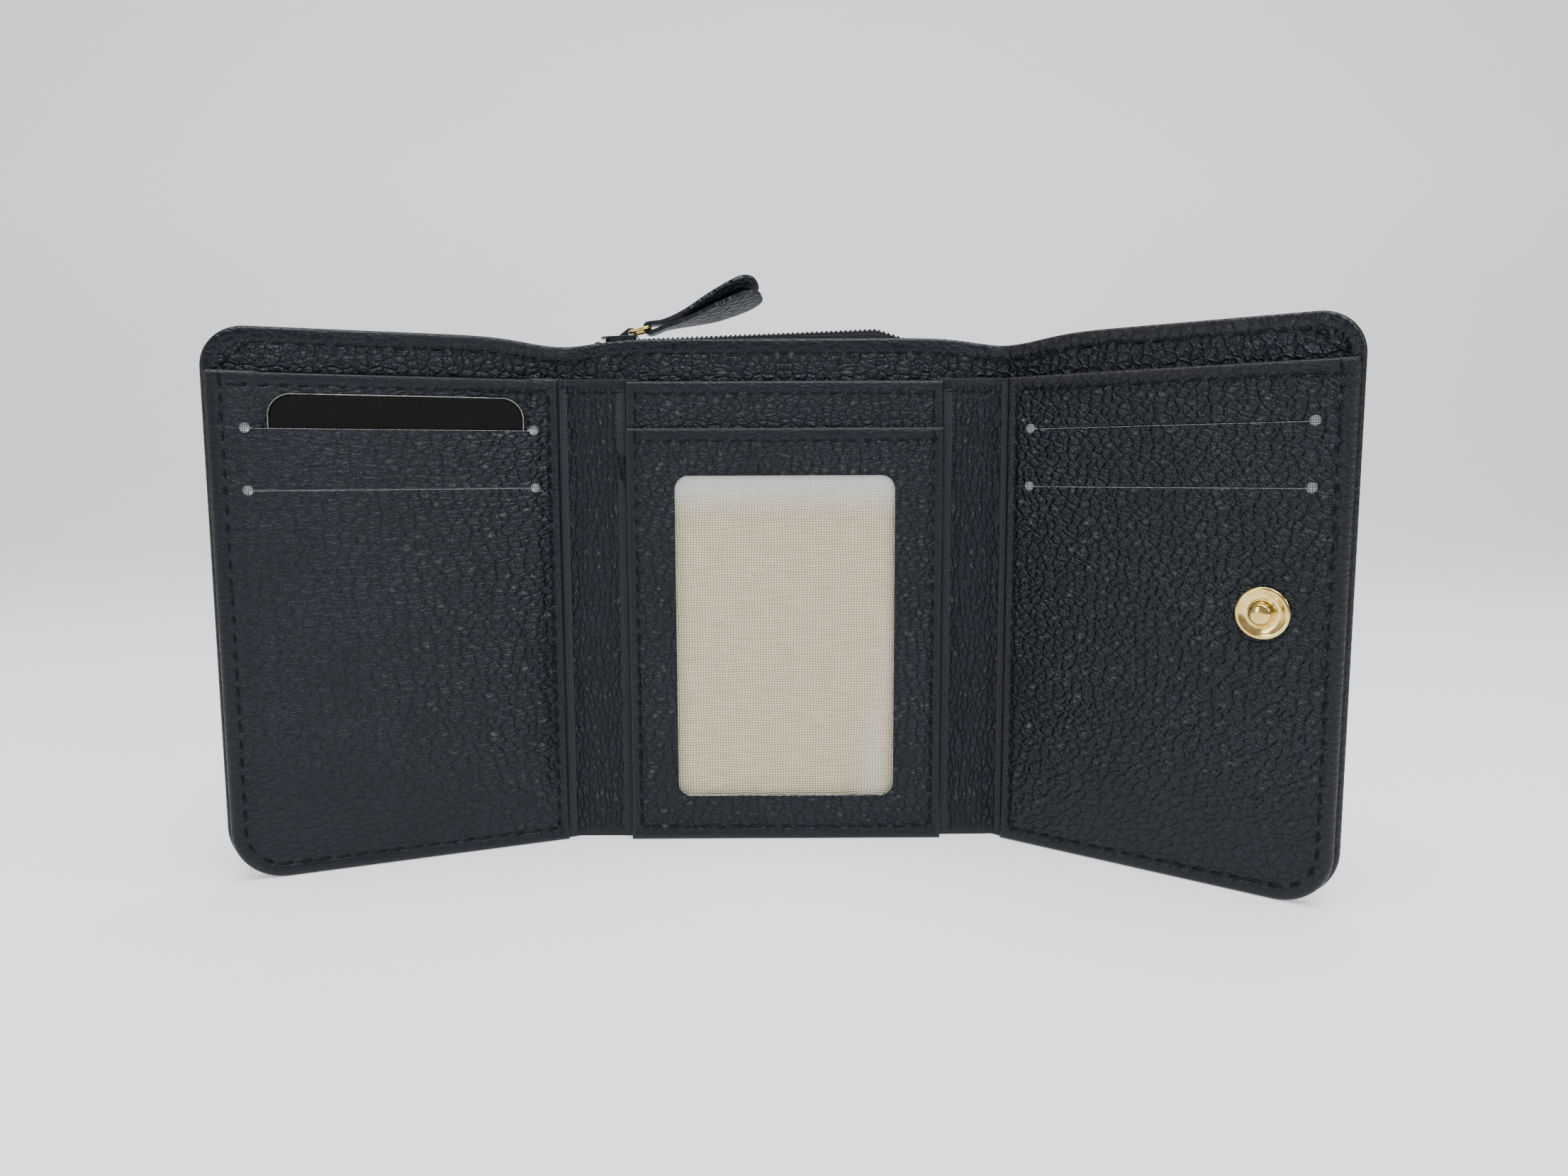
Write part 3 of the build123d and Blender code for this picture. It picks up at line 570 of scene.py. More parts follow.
@dataclass(frozen=True)
class Opening:
    """A slot, punched hole or window through a sheet."""

    along: Flat
    height: Flat
    corner: float = 0.0
    round: bool = False

    def holds(self, a: float, z: float, slack: float = 0.0) -> bool:
        """Whether a flat point lies within the opening's box, grown by slack."""
        return (
            self.along[0] - slack <= a <= self.along[1] + slack
            and self.height[0] - slack <= z <= self.height[1] + slack
        )

    def lines(self, axis: int) -> list[float]:
        """Grid lines that the opening needs, along (0) or up (1)."""
        low, high = (self.along, self.height)[axis]
        if self.round:
            middle, r = (low + high) / 2, (high - low) / 2
            return [low, middle - 0.45 * r, middle + 0.45 * r, high]
        if self.corner:
            steps = [self.corner * k / 5 for k in range(1, 6)]
            return [low, high] + [low + s for s in steps] + [high - s for s in steps]
        return [low, high]

    def snapped(self, a: float, z: float) -> Flat:
        """A point of the opening's box moved onto its rounded outline."""
        if self.round:
            ca, cz = sum(self.along) / 2, sum(self.height) / 2
            r = (self.along[1] - self.along[0]) / 2
            length = math.hypot(a - ca, z - cz) or 1.0
            return ca + (a - ca) * r / length, cz + (z - cz) * r / length
        r = self.corner
        if not r:
            return a, z
        near_a = min(self.along, key=lambda v: abs(v - a))
        near_z = min(self.height, key=lambda v: abs(v - z))
        sign_a = 1 if near_a == self.along[0] else -1
        sign_z = 1 if near_z == self.height[0] else -1
        p, q = (a - near_a) * sign_a, (z - near_z) * sign_z
        if p > r or q > r:
            return a, z
        p, q = rounded(p, q, r)
        return near_a + sign_a * p, near_z + sign_z * q


def rounded(p: float, q: float, r: float) -> Flat:
    """Moves a point of a square corner onto the round one, ring by ring.

    Args:
        p: distance from one edge, at most r.
        q: distance from the other edge, at most r.
        r: the corner's radius.

    Returns:
        The new distances from both edges.
    """
    if p > q:
        q, p = rounded(q, p, r)
        return p, q
    ring = r - p
    if ring <= 1e-9:
        return p, q
    angle = math.pi / 4 * (r - q) / ring
    return r - ring * math.cos(angle), r - ring * math.sin(angle)


@dataclass
class Sheet:
    """A sheet of leather, cloth or card, drawn flat between two faces and folded into place."""

    name: str
    along: Flat
    height: Flat
    front: DepthRule
    back: DepthRule
    rims: tuple = (Rim.ROLLED, Rim.ROLLED, Rim.ROLLED, Rim.ROLLED)
    corners: tuple = (0.0, 0.0, 0.0, 0.0)
    openings: tuple = ()
    roll: float = 0.75
    step: float = 1.3
    hem_grain: float = 0.25
    hem: float = 2.8
    keep: tuple = ((), ())
    fine: tuple = (0.0, 0.04, 0.12, 0.25, 0.42, 0.62, 0.85, 1.2, 1.7, 2.2, 2.6, 3.0, 3.4, 3.9, 4.7)
    grain: Optional[DepthRule] = None
    sway: Optional[DepthRule] = None
    lip: float = 0.08
    least_gap: float = 0.03
    seam_gap: float = 0.02
    # how far rolled edges lighten: partly wear, partly painted sheen
    rub: float = 0.75

    def edges(self, a: float, z: float) -> float:
        """Distance from a flat point to the nearest rolled edge."""
        (a0, a1), (z0, z1) = self.along, self.height
        reach = [a - a0, a1 - a, z - z0, z1 - z]
        nearest = min([d for d, rim in zip(reach, self.rims) if rim is Rim.ROLLED] or [99.0])
        pairs = ((0, 2), (1, 2), (0, 3), (1, 3))
        for (i, j), r in zip(pairs, self.corners):
            if r and reach[i] < r and reach[j] < r:
                nearest = min(nearest, r - math.hypot(r - reach[i], r - reach[j]))
        return max(0.0, nearest)

    def lines(self, axis: int) -> list[float]:
        """Grid lines along (0) or up (1): close together at rolled edges and openings."""
        low, high = (self.along, self.height)[axis]
        rims = self.rims[2 * axis : 2 * axis + 2]
        wanted = [low, high, *self.keep[axis]]
        for opening in self.openings:
            wanted += opening.lines(axis)
        firm = sorted(w for w in set(wanted) if low <= w <= high)
        for rim, start, sign in ((rims[0], low, 1), (rims[1], high, -1)):
            if rim is Rim.ROLLED:
                close = [start + sign * f for f in self.fine if low < start + sign * f < high]
                firm += [c for c in close if min(abs(c - w) for w in firm) > self.least_gap]
        firm.sort()
        full = [firm[0]]
        for value in firm[1:]:
            parts = max(1, math.ceil((value - full[-1]) / self.step))
            start = full[-1]
            full += [start + (value - start) * k / parts for k in range(1, parts + 1)]
        return full

    def rolled_in(self, e: float) -> float:
        """How far the face curls back at distance e from a rolled edge."""
        if e >= self.roll:
            return 0.0
        round_part = self.roll - math.sqrt(max(0.0, self.roll**2 - (self.roll - e) ** 2))
        return round_part - self.seam_gap * (1 - e / self.roll)

    def drawn(self) -> Shape:
        """The flat outline as a grid in X and Z, with its corners rounded and openings cut."""
        columns, rows = self.lines(0), self.lines(1)
        bm = bmesh.new()
        bmesh.ops.create_grid(bm, x_segments=len(columns) - 1, y_segments=len(rows) - 1, size=1)
        for v in bm.verts:
            i = round((v.co.x + 1) / 2 * (len(columns) - 1))
            j = round((v.co.y + 1) / 2 * (len(rows) - 1))
            v.co = (columns[i], 0, rows[j])
        for opening in self.openings:
            inside = []
            for f in bm.faces:
                c = f.calc_center_median()
                if opening.holds(c.x, c.z):
                    inside.append(f)
            bmesh.ops.delete(bm, geom=inside, context="FACES")
            for v in bm.verts:
                if opening.holds(v.co.x, v.co.z, 1e-4):
                    v.co.x, v.co.z = opening.snapped(v.co.x, v.co.z)
        (a0, a1), (z0, z1) = self.along, self.height
        for v in bm.verts:
            for (base_a, sign_a, base_z, sign_z), r in zip(
                ((a0, 1, z0, 1), (a1, -1, z0, 1), (a0, 1, z1, -1), (a1, -1, z1, -1)), self.corners
            ):
                p, q = (v.co.x - base_a) * sign_a, (v.co.z - base_z) * sign_z
                if r and p < r and q < r:
                    p, q = rounded(p, q, r)
                    v.co.x, v.co.z = base_a + sign_a * p, base_z + sign_z * q
        return bm

    def build(self, place: Placing, *materials: Finish) -> Piece:
        """Makes the sheet's object.

        Args:
            place: folds a flat point into place.
            materials: the face's material, then the one of cut openings.

        Returns:
            The object.
        """
        bm = self.drawn()
        uv = bm.loops.layers.uv.new("flat")
        grain = bm.verts.layers.float.new("grain")
        rub = bm.verts.layers.float.new("rub")
        faces = set(bm.faces)
        made = bmesh.ops.extrude_face_region(bm, geom=bm.faces[:])["geom"]
        rear = {g for g in made if isinstance(g, bmesh.types.BMVert)}
        rear_faces = {g for g in made if isinstance(g, bmesh.types.BMFace)}
        flat = {v: (v.co.x, v.co.z) for v in bm.verts}
        for f in bm.faces:
            behind = f in rear_faces
            for loop in f.loops:
                a, z = flat[loop.vert]
                loop[uv].uv = (a * UV_PER_MM + (REAR_UV if behind else 0), z * UV_PER_MM)
        for f in bm.faces:
            f.smooth = True
            if f in faces:
                on_lip = any(
                    all(slot.holds(*flat[v], self.lip) for v in f.verts)
                    for slot in self.openings
                    if not slot.round and not slot.corner
                )
                f.material_index = 1 if on_lip and len(materials) > 1 else 0
            if f in faces or f in rear_faces:
                continue
            fronts = [v for v in f.verts if v not in rear]
            if max(self.edges(*flat[v]) for v in fronts) > 0.02:
                cut = any(all(o.holds(*flat[v], 0.05) for v in fronts) for o in self.openings)
                f.material_index = 1 if cut and len(materials) > 1 else 0
                for e in f.edges:
                    e.smooth = False
        for v, (a, z) in flat.items():
            e = self.edges(a, z)
            curl = self.rolled_in(e)
            depth = self.back(a, z) - curl if v in rear else self.front(a, z) + curl
            inside = ease(e, self.hem - 0.8, self.hem + 1.2)
            strength = self.hem_grain + (1 - self.hem_grain) * inside
            v[grain] = strength * (self.grain(a, z) if self.grain else 1.0)
            # lighter colour along rolled edges: partly wear, partly painted sheen
            v[rub] = self.rub * (1 - ease(e, 0.1, 1.5))
            lift = self.sway(a, z) if self.sway else 0.0
            v.co = place(a, depth, z + lift)
        bmesh.ops.recalc_face_normals(bm, faces=bm.faces[:])
        return as_object(bm, self.name, *materials)


def as_object(bm: Shape, name: str, *materials: Finish) -> Piece:
    """Turns a bmesh, already in metres and in place, into an object of the scene."""
    mesh = bpy.data.meshes.new(name)
    bm.to_mesh(mesh)
    bm.free()
    for material in materials:
        mesh.materials.append(material)
    piece = bpy.data.objects.new(name, mesh)
    bpy.context.scene.collection.objects.link(piece)
    LOG.info("%s: %d faces", name, len(mesh.polygons))
    return piece


@dataclass(frozen=True)
class Hem:
    """Cross-section of a turned and sewn edge: puffed up to the seam, pulled down along it."""

    seam: float = 3.0
    puff: float = 0.24
    pull: float = 0.3
    width: float = 0.5
    pitch: float = 3.9

    def at(self, e: float, run: float = 0.0) -> float:
        """Depth added at distance e from the edge.

        Args:
            e: distance from the edge.
            run: distance along it; the hem is deeper where the needle went through.

        Returns:
            The added depth in millimetres.
        """
        puffed = -self.puff * math.sin(math.pi * e / self.seam) if e < self.seam else 0.0
        gather = 0.8 + 0.45 * math.cos(2 * math.pi * run / self.pitch)
        return puffed + self.pull * gather * hump(e, self.seam, self.width)


@dataclass
class Needlework:
    """Lockstitches gathered into one piece of thread."""

    name: str
    place: Placing
    pitch: float = 3.9
    length: float = 3.1
    width: float = 0.64
    rise: float = 0.3
    slant: float = 4.0
    proud: float = 0.02

    def __post_init__(self) -> None:
        """Starts the piece empty."""
        self.bm = bmesh.new()

    def over(self, shell: "Shell") -> "Needlework":
        """Needlework on the same thread that follows the shell's sagging top edge."""
        place = self.place
        other = Needlework(self.name, lambda a, d, z: place(a, d, z + shell.sway(abs(a), z)))
        other.bm = self.bm
        return other

    def sew(
        self, path: Sequence[Flat], depth: DepthRule, outward: int = -1, radius: float = 0.0
    ) -> "Needlework":
        """Sews along a flat path.

        Args:
            path: corners of the seam, as (along, height).
            depth: depth of the surface that it lies on.
            outward: -1 on a front face, 1 on a back face.
            radius: rounds the path's corners.

        Returns:
            The needlework, so that seams can be chained.
        """
        points = softened(path, radius)
        lengths = [math.dist(p, q) for p, q in zip(points, points[1:])]
        count = max(1, int(sum(lengths) / self.pitch))
        pitch = sum(lengths) / count
        for k in range(count):
            middle, ahead = (along_path(points, lengths, (k + part) * pitch) for part in (0.5, 0.6))
            self.stitch(middle, ahead, depth, outward, self.length * pitch / self.pitch, k)
        return self

    def stitch(
        self, at: Flat, ahead: Flat, depth: DepthRule, outward: int, length: float, k: int
    ) -> None:
        """Adds one stitch at a flat point, heading for the next."""
        base = self.place(at[0], depth(*at), at[1])
        top = self.place(at[0], depth(*at) + outward, at[1])
        run = self.place(ahead[0], depth(*at), ahead[1]) - base
        normal = (top - base).normalized()
        run = (run - normal * run.dot(normal)).normalized()
        across = normal.cross(run)
        turn = Matrix.Rotation(math.radians(self.slant + 1.5 * math.sin(k * 2.4)), 3, normal)
        axes = Matrix((turn @ across, normal, turn @ run)).transposed().to_4x4()
        size = Matrix.Diagonal((self.width / 2 * MM, self.rise * MM, length / 2 * MM, 1))
        spot = Matrix.Translation(base + normal * self.proud * MM) @ axes @ size
        bmesh.ops.create_uvsphere(self.bm, u_segments=6, v_segments=6, radius=1, matrix=spot)

    def finish(self, thread: Finish) -> Piece:
        """The sewn thread as one object."""
        for f in self.bm.faces:
            f.smooth = True
        bmesh.ops.recalc_face_normals(self.bm, faces=self.bm.faces[:])
        return as_object(self.bm, self.name, thread)


def softened(path: Sequence[Flat], radius: float) -> list[Flat]:
    """A path with its inner corners rounded.

    Args:
        path: the corners.
        radius: radius of each rounded corner.

    Returns:
        Points of the rounded path.
    """
    if not radius or len(path) < 3:
        return list(path)
    points = [path[0]]
    for before, corner, after in zip(path, path[1:], path[2:]):
        into = Vector(corner) - Vector(before)
        out = Vector(after) - Vector(corner)
        start = Vector(corner) - into.normalized() * radius
        end = Vector(corner) + out.normalized() * radius
        hub = start + out.normalized() * radius
        for k in range(9):
            t = math.pi / 2 * k / 8
            spot = hub - out.normalized() * radius * math.cos(t)
            spot += into.normalized() * radius * math.sin(t)
            points.append((spot.x, spot.y))
        points[-1] = (end.x, end.y)
    points.append(path[-1])
    return points


def along_path(points: Sequence[Flat], lengths: Sequence[float], travel: float) -> Flat:
    """The point at a distance along a path."""
    for (p, q), length in zip(zip(points, points[1:]), lengths):
        if travel <= length or (p, q) == (points[-2], points[-1]):
            t = travel / length if length else 0
            return p[0] + (q[0] - p[0]) * t, p[1] + (q[1] - p[1]) * t
        travel -= length
    return points[-1]


def across_crease(piece: Piece, side: Side, wing: bool) -> None:
    """Bakes a piece's transform into its mesh; the piece already lies across the crease at one end
    of a fold strip.

    Args:
        piece: the piece, which lies at both sides of the crease.
        side: the hand of the wallet.
        wing: True for the crease at the wing, False for the one at the centre.
    """
    place = LAYOUT.place(side)
    _, depth = LAYOUT.hinge(side)
    first = LAYOUT.wing_start - LAYOUT.bend_run if wing else LAYOUT.centre_half
    start, end = place(first, depth, 0), place(first + LAYOUT.bend_run, depth, 0)
    fold = f"{side.word}_fold"
    pair = (fold, f"{side.word}_wing") if wing else ("centre", fold)
    tuple(start)
    tuple(end)
    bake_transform(piece)


def settle(piece: Piece, body: str, slot: str, *nodes: str) -> None:
    """Sets a piece on its body and hides the CAD nodes that it stands for.

    Args:
        piece: the finished piece.
        body: the body that it moves with.
        slot: the record's material slot; not used.
        nodes: the CAD nodes that it replaces, if any.
    """
    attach(piece, body)
    if nodes:
        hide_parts(*nodes)


# ---------------------------------------------------------------- sub-assemblies


@dataclass
class Shell:
    """Outer leather behind all sections, with the facing along its top and its rolled perimeter."""

    finish: Finishes
    back_face: float = 3.6
    hem_front: float = 2.05
    facing_front: float = 2.32
    hollow_front: float = 2.8
    facing_bottom: float = 97.0
    hem_width: float = 7.0
    dip: float = 1.9
    dip_at: float = 53.0
    dip_width: float = 11.0
    wrinkles: float = 0.3
    unevenness: float = 0.08
    back_unevenness: float = 0.1
    hem: Hem = Hem(seam=3.3, puff=0.1, pull=0.22)

    def edge(self, a: float, z: float) -> float:
        """Distance from a flat point to the shell's perimeter."""
        outer, top = LAYOUT.outer(), LAYOUT.height
        out, low, high = outer - a, z, top - z
        near = min(out, low, high)
        for q, r in ((low, LAYOUT.corner), (high, LAYOUT.top_corner)):
            if out < r and q < r:
                near = min(near, r - math.hypot(r - out, r - q))
        return max(0.0, near)

    def front(self, a: float, z: float) -> float:
        """Depth of the inner face: rolled hem, facing, and the hollow behind the pockets."""
        e = self.edge(a, z)
        facing = ease(z, self.facing_bottom - 2.0, self.facing_bottom)
        inside = self.hollow_front + (self.facing_front - self.hollow_front) * facing
        past_hem = ease(e, self.hem.seam - 0.6, self.hem.seam + 0.8)
        if z < self.facing_bottom:
            past_hem = ease(e, self.hem_width - 1, self.hem_width + 0.5)
        depth = self.hem_front + (inside - self.hem_front) * past_hem
        soft = hump(a, 51.0, 9.0) * facing
        wrinkle = soft * self.wrinkles * abs(ripple(a + 0.8 * z, z - 0.5 * a, 3.0, 4.5))
        uneven = self.unevenness * ripple(a, z, 7.0, 14.0) * facing
        return depth + self.hem.at(e, a) + wrinkle * ease(e, 1.5, 4.0) + uneven

    def back(self, a: float, z: float) -> float:
        """Depth of the outer face."""
        uneven = self.back_unevenness * abs(ripple(a, z, 9.0, 25.0))
        return self.back_face - self.hem.at(self.edge(a, z)) * 0.8 - uneven

    def sway(self, a: float, z: float) -> float:
        """How far the top edge sags near a fold."""
        return -self.dip * hump(a, self.dip_at, self.dip_width) * ease(z, 95.0, LAYOUT.height)

    def grain(self, a: float, z: float) -> float:
        """Grain is strongest near the folds."""
        return 0.85 + 0.5 * hump(a, 50.0, 14.0)

    def build(self) -> None:
        """Builds the four pieces of the shell: each hand's wing and half of the centre."""
        leather = self.finish["shell_leather"]
        bottom = self.facing_bottom
        for side in Side:
            halves = (
                ("wing", LAYOUT.strip_middle, LAYOUT.outer(), Rim.ROLLED),
                ("centre", 0.0, LAYOUT.strip_middle, Rim.CUT),
            )
            for part, start, end, rim in halves:
                wing = part == "wing"
                piece = Sheet(
                    f"{side.word}_{part}_shell",
                    (start, end),
                    (0.0, LAYOUT.height),
                    self.front,
                    self.back,
                    (Rim.CUT, rim, Rim.ROLLED, Rim.ROLLED),
                    (0.0, LAYOUT.corner, 0.0, LAYOUT.top_corner) if wing else (0.0,) * 4,
                    keep=((), (bottom - 2, bottom - 1, bottom)),
                    grain=self.grain,
                    sway=self.sway,
                    step=1.2,
                ).build(LAYOUT.place(side), leather)
                across_crease(piece, side, wing)
                sections = [f"{side.word}_wing" if wing else f"{side.word}_fold"]
                if side is Side.LEFT and not wing:
                    sections.append("centre")
                nodes = [f"{layer}_{s}" for s in sections for layer in ("outer_shell", "facing")]
                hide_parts(*nodes)


@dataclass
class FoldStrip:
    """Soft inner strip between the centre and a wing, with its top hem."""

    finish: Finishes
    side: Side
    front_face: float = 1.62
    back_face: float = 2.0
    unevenness: float = 0.04
    overlap: float = 1.4
    hem: Hem = Hem(seam=3.0, puff=0.12, pull=0.12)

    def front(self, a: float, z: float) -> float:
        """Depth of the strip's front face."""
        wave = self.unevenness * ripple(a * 1.6, z * 0.5, 21.0 + self.side.value, 7.0)
        return self.front_face + wave + self.hem.at(LAYOUT.panel_height - z)

    def back(self, a: float, z: float) -> float:
        """Depth of the strip's back face."""
        return self.back_face

    def build(self) -> None:
        """Builds the strip's two halves and the stitches across its hem and the facing."""
        place, word = LAYOUT.place(self.side), self.side.word
        first, last = LAYOUT.centre_half - self.overlap, LAYOUT.wing_start + self.overlap
        split = LAYOUT.strip_middle
        shell = Shell(self.finish)
        halves = (("inner", first, split, False), ("outer", split, last, True))
        for label, start, end, wing in halves:
            strip = Sheet(
                f"{word}_strip_{label}",
                (start, end),
                (0.0, LAYOUT.panel_height),
                self.front,
                self.back,
                (Rim.CUT, Rim.CUT, Rim.ROLLED, Rim.ROLLED),
                roll=0.18,
                step=1.0,
                hem=1.6,
                fine=(0.0, 0.05, 0.12, 0.2, 0.5, 1.0, 1.6, 2.2, 2.6, 3.0, 3.4, 3.9),
            ).build(place, self.finish["strip_leather"])
            across_crease(strip, self.side, wing)
            work = Needlework(f"{word}_strip_{label}_thread", place)
            inside = (max(start, LAYOUT.centre_half), min(end, LAYOUT.wing_start))
            top, high = LAYOUT.panel_height - self.hem.seam, LAYOUT.height - shell.hem.seam
            work.sew([(inside[0], top), (inside[1], top)], self.front)
            swayed = work.over(shell)
            swayed.sew([(inside[0], high), (inside[1], high)], shell.front)
            swayed.sew([(inside[0], high), (inside[1], high)], shell.back, outward=1)
            work.sew([(inside[0], 3.3), (inside[1], 3.3)], shell.back, outward=1)
            thread = work.finish(self.finish["black_thread"])
            across_crease(thread, self.side, wing)
            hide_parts(f"note_wall_{word}_fold")
            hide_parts(f"{word}_fold_thread")


@dataclass
class WingPanel:
    """Grained panel of a wing with its hems and card slots, and the wing's stitching."""

    finish: Finishes
    side: Side
    leather: float = 0.8
    hem_depth: float = 1.5
    hem_width: float = 4.6
    slot_along: Flat = (6.15, 66.7)
    slot_heights: Flat = (99.4, 86.1)
    slot_cut: float = 0.26
    pale_lip: float = 0.07
    hole: float = 1.1
    rise: float = 0.65
    press: float = 0.86
    pressed_leather: float = 0.64
    unevenness: float = 0.12
    card_unevenness: float = 0.04
    gape: float = 0.1
    inner_seam: float = 2.4
    hem: Hem = Hem()

    @property
    def holds_card(self) -> bool:
        """Only the left wing has a card in it."""
        return self.side is Side.LEFT

    def edge(self, a: float, z: float) -> float:
        """Distance to the panel's edge, counted so that every seam lies at the same distance."""
        u = a - LAYOUT.wing_start
        width, r = LAYOUT.wing_width - LAYOUT.panel_inset, LAYOUT.corner - LAYOUT.panel_inset
        out = width - u
        inner = u + self.hem.seam - self.inner_seam if u > 0.8 else u
        near = min(inner, out, z, LAYOUT.panel_height - z)
        if out < r and z < r:
            near = min(near, r - math.hypot(r - out, r - z))
        return max(0.0, near)

    def front(self, a: float, z: float) -> float:
        """Depth of the panel's face, with its lips at the slots."""
        u = a - LAYOUT.wing_start
        high, low = self.slot_heights
        first, last = self.slot_along
        upright = min(u, LAYOUT.wing_width - u) < min(z, LAYOUT.panel_height - z)
        depth = self.hem.at(self.edge(a, z), z if upright else u)
        uneven = self.card_unevenness if self.holds_card else self.unevenness
        depth += uneven * ripple(u, z, 31.0 + self.side.value, 26.0) * ease(self.edge(a, z), 3, 8)
        within = ease(u, first - 0.2, first + 5) * (1 - ease(u, last - 5, last + 0.2))
        if self.holds_card:
            field_here = ease(u, 3.3, 6.3) * (1 - ease(u, 66.5, 69.7)) * ease(z, 6.0, 17.0)
            if z < high:
                ends = min(math.hypot(u - first, z - high), math.hypot(u - last, z - high))
                depth -= self.rise * field_here * (1 - 0.72 * hump(ends, 0, 1.4))
            else:
                here = ease(u, 5.6, 7.6) * (1 - ease(u, 63.0, 65.4))
                depth += self.press * here
        elif z < high:
            depth -= self.gape * within * hump(z, high, 4.0)
        if z < low:
            depth -= self.gape * within * hump(z, low, 4.0)
        return depth

    def back(self, a: float, z: float) -> float:
        """Depth of the panel's back: hems at the edges, plain leather elsewhere."""
        pressed = self.holds_card and z > self.slot_heights[0] and self.front(a, z) > 0.4
        plain = self.front(a, z) + (self.pressed_leather if pressed else self.leather)
        share = 1 - ease(self.edge(a, z), self.hem_width - 0.5, self.hem_width + 1)
        return plain + (max(plain, self.hem_depth) - plain) * share

    def grain(self, a: float, z: float) -> float:
        """Grain fades towards the bottom and towards the outer edge."""
        u = a - LAYOUT.wing_start
        fade = 0.55 + 0.45 * ease(z, 4.0, 34.0)
        near_fold = 1.0 + 0.35 * hump(u, 4.0, 16.0)
        soft = 0.62 + 0.38 * (1 - ease(u, 18.0, 62.0)) if self.holds_card else 1.0
        return fade * near_fold * soft

    def openings(self) -> tuple[Opening, ...]:
        """The two slots, and the holes punched at their ends."""
        half, r, start = self.slot_cut / 2, self.hole, LAYOUT.wing_start
        first, last = (start + u for u in self.slot_along)
        slots = [Opening((first, last), (z - half, z + half)) for z in self.slot_heights]
        holes = [
            Opening((a - r, a + r), (z - r, z + r), round=True)
            for a in (first, last)
            for z in self.slot_heights
        ]
        return tuple(slots + holes)

    def build(self) -> None:
        """Builds the panel and its thread."""
        place, word, start = LAYOUT.place(self.side), self.side.word, LAYOUT.wing_start
        outer = start + LAYOUT.wing_width - LAYOUT.panel_inset
        corner = LAYOUT.corner - LAYOUT.panel_inset
        name = "worn_in_leather" if self.holds_card else "wing_leather"
        panel = Sheet(
            f"{word}_grained_panel",
            (start, outer),
            (0.0, LAYOUT.panel_height),
            self.front,
            self.back,
            corners=(0.0, corner, 0.0, 0.0),
            openings=self.openings(),
            keep=((), tuple(z - self.slot_cut / 2 - self.pale_lip for z in self.slot_heights)),
            grain=self.grain,
            hem=2.4,
            step=1.15,
        ).build(place, self.finish[name], self.finish["cut_leather_edge"])
        settle(panel, f"{word}_wing", "inner_leather", f"{word}_pocket_panel")
        self.back_slots(place)
        self.sew(place, start, outer, corner)

    def back_slots(self, place: Placing) -> None:
        """Pale pocket cloth that shows in the punched holes."""
        start, (first, last) = LAYOUT.wing_start, self.slot_along
        high, low = self.slot_heights
        for k, (begin, end) in enumerate(((first, first), (last, last))):
            cloth = Sheet(
                f"{self.side.word}_slot_cloth_{k + 1}",
                (start + begin - 1.4, start + end + 1.4),
                (low - 1.4, high + 1.4),
                lambda a, z: self.front(a, z) + 0.6,
                lambda a, z: self.front(a, z) + 0.7,
                rims=(Rim.CUT,) * 4,
                step=0.8,
            ).build(place, self.finish["slot_weave"])
            settle(cloth, f"{self.side.word}_wing", "pocket_cloth")

    def sew(self, place: Placing, start: float, outer: float, corner: float) -> None:
        """Sews round the panel, across its hem, along the facing and round the outside."""
        word, seam = self.side.word, self.hem.seam
        shell = Shell(self.finish)
        inner, side_seam = start + self.inner_seam, outer - seam
        top, high = LAYOUT.panel_height, LAYOUT.height - shell.hem.seam
        arc = corner - seam
        work = Needlework(f"{word}_wing_seams", place)
        work.sew([(inner, top - seam), (inner, seam)], self.front)
        work.sew([(inner, seam), (side_seam, seam), (side_seam, top)], self.front, radius=arc)
        work.sew([(inner + 1.5, top - seam), (side_seam - 1.5, top - seam)], self.front)
        swayed = work.over(shell)
        edge = LAYOUT.outer() - shell.hem.seam
        diagonal = [(edge, top + 1.0), (edge - 0.6, high - 5.0), (edge - 6.0, high), (start, high)]
        swayed.sew(diagonal, shell.front)
        around = [(start, high), (edge, high), (edge, shell.hem.seam), (start, shell.hem.seam)]
        swayed.sew(around, shell.back, outward=1, radius=LAYOUT.corner - shell.hem.seam)
        thread = work.finish(self.finish["black_thread"])
        settle(thread, f"{word}_wing", "thread", f"{word}_wing_thread")


